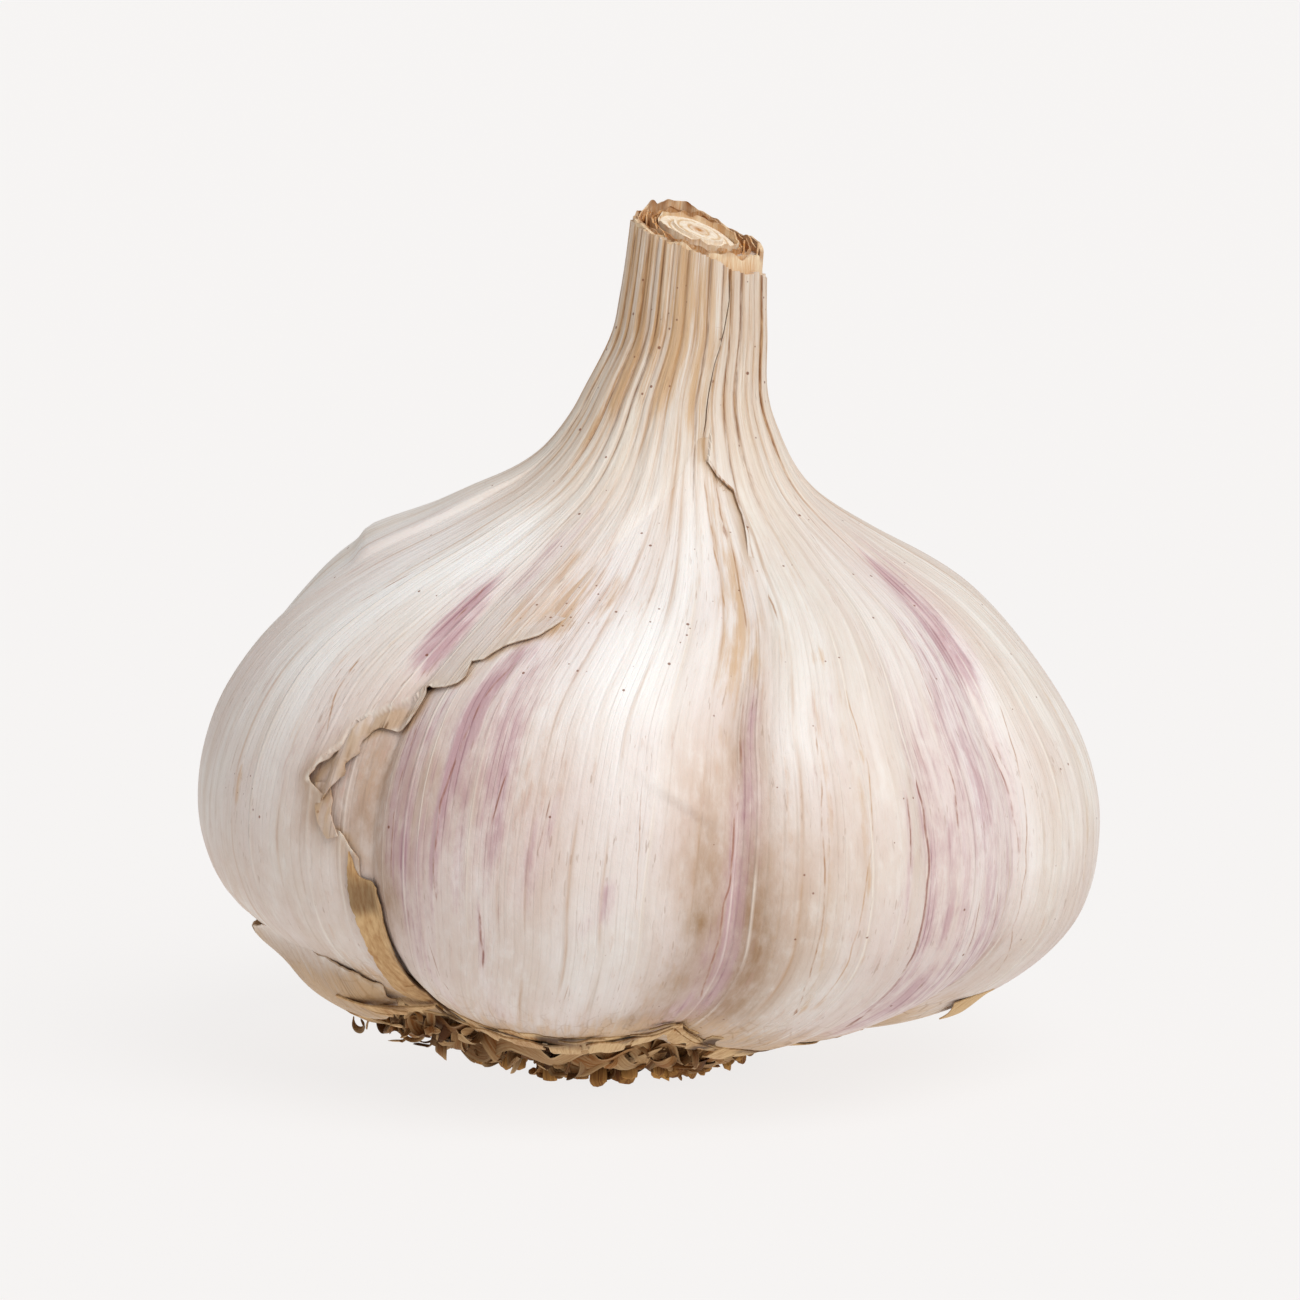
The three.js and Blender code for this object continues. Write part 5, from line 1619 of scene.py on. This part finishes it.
def flake_part():
    """The skin-coloured flake that stands off at the lower left."""
    border = closed_line(FLAKE, 0.3, 0.5, 401)
    tree = tree_of(border)

    def surface(points, under):
        c, t = unflat(points)
        skirt = smooth(turn(-112, c), 0, 16) * smooth(-turn(-43, c), 0, 9)
        hang = 1.3 * smooth(-t, -0.3, -0.21) * skirt
        corner = 0.8 * bell(turn(-76, c), 0, 7) * smooth(t, 0.235, 0.288)
        seat = mix(-0.12, 0.05, smooth(-t, -0.302, -0.268))
        lift = seat + hang + corner + fibre_lift(c, t) - 0.12 * under
        values = paint(c, t, True)
        torn, zones, collar = values["torn"], values["zones"], values["collar"]
        gap = gaps_to(tree, points)
        streak = smooth(noise(c, t, 190, 9, 402), 0.62, 0.9) * smooth(noise(c, t, 60, 14, 403), 0.4, 0.7)
        # Painted shade darkens the flake towards its lower edge, with brown at its tip.
        dust_and_shade = 0.55 * smooth(-t, -0.285, -0.22) + 0.8 * bell(turn(-75, c), 0, 4) * smooth(t, 0.258, 0.284)
        torn[:, 0] = mix(dust_and_shade, 0.85, under)
        torn[:, 1] = 0.3 * bell(gap, 0, 0.25) * (1 - under)
        torn[:, 2] = 0.75 * streak * (1 - under)
        zones[:, 0] = 0
        zones[:, 1] = np.maximum(zones[:, 1], 0.9 * smooth(-t, -0.295, -0.24))
        collar[:, 2] = np.maximum(collar[:, 2], smooth(-t, -0.305, -0.24))
        return body_point(c, t, lift), values

    return patch(border, (0.42, 0.5), 0.16, surface)


def front_shreds():
    """The dried strip up the groove beside the flake, and the narrow shreds."""
    strip = closed_line(STRIP, 0.22, 0.22, 411, SHRED_WAVES)
    parts = [scale_patch(
        strip, lambda c, t: 0.08 + 0.2 * bell(turn(-41.5, c), 0, 0.8), 0.1, 0.66, 0.55, 0.3,
    )]
    share = np.linspace(0, 1, 9)[:, None]
    for k, (first, last, width, lift) in enumerate(SHREDS):
        middle = flat([first]) * (1 - share) + flat([last]) * share
        middle[:, 1] += 0.5 * np.sin(3.1 * share[:, 0] + k) - 0.5 * np.sin(k)
        along = np.gradient(middle, axis=0)
        along /= np.hypot(*along.T)[:, None]
        half = 0.5 * width * np.sin(np.pi * np.clip(share, 0.06, 0.94)) ** 0.5
        half = half * (-along[:, ::-1] * (1, -1))
        outline = np.concatenate([middle + half, (middle - half)[::-1]])
        shape = ragged(np.concatenate([outline, outline[:1]]), 0.16, 0.12, 460 + k, SHRED_WAVES)[:-1]
        parts.append(scale_patch(
            shape, lambda c, t, b=lift: 0.6 * b + 0.04 + 0.07 * np.sin(c * 0.9 + t * 90),
            0.12, 0.45 + 0.06 * (k % 4), 0.5, 0.25,
        ))
    return parts


def hanging_tips():
    """Torn tips of the sheaths that hang over the root plate."""
    draw = np.random.default_rng(91)
    parts = []
    for k, middle in enumerate(np.arange(-46, 34, 4.2)):
        half, top, low = draw.uniform(2.2, 4.6), draw.uniform(0.2, 0.226), draw.uniform(0.158, 0.178)
        shape = closed_line([
            (middle - half, top), (middle - 0.3 * half, top + draw.uniform(0, 0.008)),
            (middle + half, top - 0.004), (middle + 0.9 * half, low + draw.uniform(0, 0.02)),
            (middle + 0.3 * half, low), (middle - 0.2 * half, low + draw.uniform(0, 0.02)),
            (middle - 0.8 * half, low + draw.uniform(0, 0.01)),
        ], 0.2, 0.35, 500 + k, TIP_WAVES)
        stand = draw.uniform(0.35, 0.8)
        parts.append(scale_patch(
            shape, lambda c, t, h=stand: -0.14 + h * smooth(-t, -0.215, -0.165),
            0.09, draw.uniform(0.55, 1.0), 0.9, 0.3,
        ))
    return parts


SHORT_SCALES = ((55, 78), (248, 300))  # columns where the scales end below the corner and the flake


def base_scales(draw):
    """Overlapping scales round the rest of the base."""
    parts = []
    for k, middle in enumerate(np.arange(30, 316, 11.0)):
        half, top = draw.uniform(6, 11), draw.uniform(0.185, 0.225)
        if any(first < middle < last for first, last in SHORT_SCALES):
            top = 0.185
        shape = closed_line([
            (middle - half, 0.13), (middle - half, top - 0.02),
            (middle - half * 0.5, top + draw.uniform(-0.012, 0.015)),
            (middle, top + draw.uniform(-0.015, 0.012)),
            (middle + half * 0.6, top + draw.uniform(-0.012, 0.015)),
            (middle + half, top - 0.03), (middle + half, 0.13),
        ], 0.3, 0.6, 440 + k, SCALE_WAVES)
        base = 0.02 + 0.07 * (k % 3)
        parts.append(scale_patch(
            shape, lambda c, t, b=base: b + 0.1 * smooth(t, 0.15, 0.22),
            0.1, draw.uniform(0.35, 0.8), 0.6, 0.6,
        ))
    return parts


def seat_share(radius):
    """Share of the outline at which the underside of the bulb has a radius."""
    return np.interp(radius, PROFILE[1:6, 0], np.arange(1, 6) / (len(PROFILE) - 1))


def curled_shavings(draw):
    """Curled shavings packed under the rim, spread widest at the front left."""
    parts = []
    total = settings().shaving_count
    for k in range(total + LEFT_SHAVINGS):
        azimuth = 360 * k / total + draw.uniform(-4, 4) if k < total else draw.uniform(-96, -36)
        spread = 8.3 * bell(turn(-66, azimuth), 0, 32) + 1.0 * bell(turn(180, azimuth), 0, 60)
        radius = draw.uniform(7.6, 11.0) + spread * draw.uniform(0, 1)
        roof = body_point(azimuth, seat_share(radius), -0.1)
        low = max(0.0, (radius - 8.2) * (0.3 if azimuth > 180 else 0.5))
        curl = draw.uniform(0.45, 1.15)
        width = draw.uniform(0.55, 1.35)
        thick = draw.uniform(0.1, 0.22)
        room = roof[2] - low
        middle = roof - (0, 0, min(room * draw.uniform(0.15, 0.75), room - 0.2))
        angle = np.radians(azimuth + draw.normal(0, 55))
        axis = np.array([np.sin(angle), -np.cos(angle), draw.normal(0, 0.45)])
        sweep = draw.uniform(1.6, 4.4) * draw.choice([-1, 1])
        path = shaving_path(middle, axis, curl, sweep, draw.uniform(0, 6.28), draw.uniform(-2.2, 2.2))
        path[:, 2] = np.clip(path[:, 2], low + 0.25, roof[2] + 0.35)
        lie = axis / np.linalg.norm(axis) + 0.25 * draw.normal(0, 1, 3) + np.zeros((len(path), 3))
        tone, dark = draw.uniform(0, 0.6), draw.uniform(0.15, 0.95)
        parts.append(strand_part(path, width, thick / width, lie, 6, 0.01, tone, dark, draw))
    return parts


def long_shavings(draw):
    """Long wavy shavings that follow the rim."""
    parts = []
    share = np.linspace(0, 1, 26)
    for k in range(LONG_SHAVINGS):
        azimuth = draw.uniform(-66, 40) if k < FRONT_SHAVINGS else draw.uniform(40, 294)
        sweep = draw.uniform(24, 52)
        columns = azimuth + sweep * (share - 0.5)
        radius = draw.uniform(9.6, 11.6) + 6.0 * bell(turn(-60, azimuth), 0, 32) * draw.uniform(0.3, 1)
        wave = 0.7 * np.sin(draw.uniform(2.6, 5.0) * math.pi * share + draw.uniform(0, 6))
        roof = body_point(azimuth, seat_share(radius), -0.1)[2]
        middle = np.maximum(roof - draw.uniform(0.4, 1.8), 0.9 + 0.3 * (radius - 8.8))
        path = place(columns, radius + 0.8 * wave * draw.uniform(0.5, 1.2), middle + wave)
        width, thick = draw.uniform(1.1, 1.9), draw.uniform(0.16, 0.26)
        turned = np.radians(draw.uniform(20, 70) + 40 * np.sin(draw.uniform(4, 9) * share + k))[:, None]
        out = np.stack([np.sin(np.radians(columns)), -np.cos(np.radians(columns)), 0 * columns], 1)
        lie = out * np.cos(turned) + np.array([0, 0, 1]) * np.sin(turned)
        tone, dark = draw.uniform(0.05, 0.5), draw.uniform(0.35, 0.95)
        parts.append(strand_part(path, width, thick / width, lie, 8, 0.02, tone, dark, draw))
    return parts


def build_wrapper():
    """What is left of the oldest wrapper: the flake, and all its scales, shreds and shavings."""
    make_piece("wrapper_flake", flake_part(), "air_dried_outer_sheath", "base_remnant")
    corner = scale_patch(
        closed_line(RIGHT_CORNER, 0.2, 0.12, 431, TIP_WAVES),
        lambda c, t: 0.05 + 0.5 * smooth(-t, -0.285, -0.255), 0.1, 1.0, 0.1, 0.3,
    )
    draw = np.random.default_rng(77)
    parts = [*front_shreds(), *hanging_tips(), corner, *base_scales(draw), *curled_shavings(draw)]
    parts += long_shavings(draw)
    make_piece("wrapper_scales", merge(parts), "weathered_leaf_scale", "base_remnant")


# ---- Stage ----

FLOOR_HALF = 3.0  # metres
KEY_SPREAD = 50  # degrees over which the soft light spreads
KEY_DIRECTION = (-0.38, 0.5, -0.8)
CAMERA_ELEVATION = 9  # degrees
CAMERA_DISTANCE = 0.6  # metres
CAMERA_TARGET_Z = 0.02885  # metres
SENSOR_WIDTH = 36  # millimetres
FOCAL_LENGTH = 240.66  # millimetres


def build_stage():
    """Floor, sky, soft key light and camera."""
    scene = bpy.context.scene
    scene.view_settings.view_transform = "Standard"
    floor_mesh = bpy.data.meshes.new("studio_floor")
    corners = [(x * FLOOR_HALF, y * FLOOR_HALF, 0) for x, y in ((-1, -1), (1, -1), (1, 1), (-1, 1))]
    floor_mesh.from_pydata(corners, [], [(0, 1, 2, 3)])
    floor = bpy.data.objects.new("studio_floor", floor_mesh)
    scene.collection.objects.link(floor)
    # Matt white board, lit from below as a light table, so that shadows stay faint.
    material, tree = new_material("matt_white_board")
    shader = add_node(tree, "ShaderNodeBsdfPrincipled", values={
        "Base Color": linear("#595857"), "Roughness": 0.9, "Specular IOR Level": 0.1,
        "Emission Color": linear("#F7F5F4"), "Emission Strength": settings().floor_glow,
    })
    add_node(tree, "ShaderNodeOutputMaterial", links={"Surface": shader.outputs[0]})
    floor_mesh.materials.append(material)

    world = bpy.data.worlds.new("soft_studio")
    scene.world = world
    world.use_nodes = True
    sky = world.node_tree.nodes["Background"]
    sky.inputs[0].default_value = linear("#FFFFFF")
    sky.inputs[1].default_value = settings().sky_strength

    key_data = bpy.data.lights.new("key_softbox", "SUN")
    key_data.energy = settings().key_strength
    key_data.angle = math.radians(KEY_SPREAD)
    key_data.color = (1.0, 0.99, 0.98)
    key = bpy.data.objects.new("key_softbox", key_data)
    key.rotation_euler = Vector(KEY_DIRECTION).to_track_quat("-Z", "Y").to_euler()
    scene.collection.objects.link(key)

    elevation = math.radians(CAMERA_ELEVATION)
    target = Vector((0, 0, CAMERA_TARGET_Z))
    camera_data = bpy.data.cameras.new("product_camera")
    camera_data.sensor_width = SENSOR_WIDTH
    camera_data.lens = FOCAL_LENGTH
    camera_data.clip_start = 0.05
    camera = bpy.data.objects.new("product_camera", camera_data)
    back = Vector((0, -math.cos(elevation), math.sin(elevation)))
    camera.location = target + CAMERA_DISTANCE * back
    camera.rotation_euler = (target - camera.location).to_track_quat("-Z", "Y").to_euler()
    scene.collection.objects.link(camera)
    scene.camera = camera


# ---- Add-on ----

def colour_setting(name, description, code):
    """A colour that can be set, given as an sRGB hex code."""
    return FloatVectorProperty(
        name=name, description=description, subtype="COLOR", size=3, min=0, max=1,
        default=linear(code)[:3],
    )


class GarlicSettings(bpy.types.PropertyGroup):
    """Sizes, colours, counts and lights of the garlic bulb"""
    skin_thickness: FloatProperty(
        name="Skin thickness", description="Thickness of the outer papery skin",
        default=0.0001, unit="LENGTH", subtype="DISTANCE",
    )
    vein_height: FloatProperty(
        name="Vein height", description="Share by which folds, fibres and ribs stand out", default=1.0,
        subtype="FACTOR", min=0, max=2,
    )
    curl: FloatProperty(
        name="Curl", description="Share by which the torn edge curls away", default=1.0,
        subtype="FACTOR", min=0, max=2,
    )
    outer_colour: colour_setting(
        "Outer skin", "Colour of the outer papery skin between its fibres", "#ECE6DF",
    )
    inner_colour: colour_setting("Inner skin", "Colour of the skin over the cloves", "#EFE9E4")
    mauve_colour: colour_setting("Mauve", "Colour of the streaks in the skins", "#BC959B")
    tan_colour: colour_setting("Tan", "Colour of the stains in the skins", "#CFAD88")
    scale_colour: colour_setting("Old wrapper", "Colour of the dry scales and shavings", "#D9B685")
    root_colour: colour_setting("Roots", "Colour of the dry roots along their ridges", "#C8944F")
    root_count: IntProperty(name="Root count", description="Number of cropped roots", default=170, min=10)
    shaving_count: IntProperty(
        name="Shavings", description="Number of curled shavings over the roots", default=380, min=0,
    )
    floor_glow: FloatProperty(
        name="Floor glow", description="Light that the floor gives off", default=0.88,
    )
    sky_strength: FloatProperty(
        name="Sky strength", description="Strength of the white surroundings", default=0.42,
    )
    key_strength: FloatProperty(
        name="Key strength", description="Strength of the main light", default=2.1,
    )


class GARLIC_OT_stage(bpy.types.Operator):
    """Make the floor, the soft lights and the camera"""
    bl_idname = "garlic.stage"
    bl_label = "Stage"

    def execute(self, context):
        build_stage()
        return {"FINISHED"}


class GARLIC_OT_cloves(bpy.types.Operator):
    """Make the cloves in their inner skin"""
    bl_idname = "garlic.cloves"
    bl_label = "Cloves"

    def execute(self, context):
        build_cloves()
        return {"FINISHED"}


class GARLIC_OT_outer_skin(bpy.types.Operator):
    """Make the torn outer skin"""
    bl_idname = "garlic.outer_skin"
    bl_label = "Outer skin"

    def execute(self, context):
        build_outer_skin()
        return {"FINISHED"}


class GARLIC_OT_neck(bpy.types.Operator):
    """Make the cut leaf sheaths and the stalk in the neck"""
    bl_idname = "garlic.neck"
    bl_label = "Cut neck"

    def execute(self, context):
        build_neck()
        return {"FINISHED"}


class GARLIC_OT_wrapper(bpy.types.Operator):
    """Make what is left of the old wrapper round the base"""
    bl_idname = "garlic.wrapper"
    bl_label = "Old wrapper"

    def execute(self, context):
        build_wrapper()
        return {"FINISHED"}


class GARLIC_OT_roots(bpy.types.Operator):
    """Make the root plate and its cropped roots"""
    bl_idname = "garlic.roots"
    bl_label = "Roots"

    def execute(self, context):
        build_roots()
        return {"FINISHED"}


OPERATORS = (
    GARLIC_OT_stage, GARLIC_OT_cloves, GARLIC_OT_outer_skin, GARLIC_OT_neck, GARLIC_OT_wrapper,
    GARLIC_OT_roots,
)


class VIEW3D_PT_garlic(bpy.types.Panel):
    """Sizes and steps of the garlic bulb"""
    bl_label = "Garlic bulb"
    bl_space_type = "VIEW_3D"
    bl_region_type = "UI"
    bl_category = "Garlic"

    def draw(self, context):
        for key in GarlicSettings.__annotations__:
            self.layout.prop(context.scene.garlic, key)
        for operator in OPERATORS:
            self.layout.operator(operator.bl_idname)


CLASSES = (GarlicSettings, *OPERATORS, VIEW3D_PT_garlic)


def register():
    for item in CLASSES:
        bpy.utils.register_class(item)
    bpy.types.Scene.garlic = PointerProperty(type=GarlicSettings)


def unregister():
    del bpy.types.Scene.garlic
    for item in reversed(CLASSES):
        bpy.utils.unregister_class(item)


def main():
    """Makes the stage and every piece."""
    register()
    bpy.ops.garlic.stage()
    bpy.ops.garlic.cloves()
    bpy.ops.garlic.outer_skin()
    bpy.ops.garlic.neck()
    bpy.ops.garlic.wrapper()
    bpy.ops.garlic.roots()


if __name__ == "__main__":
    main()
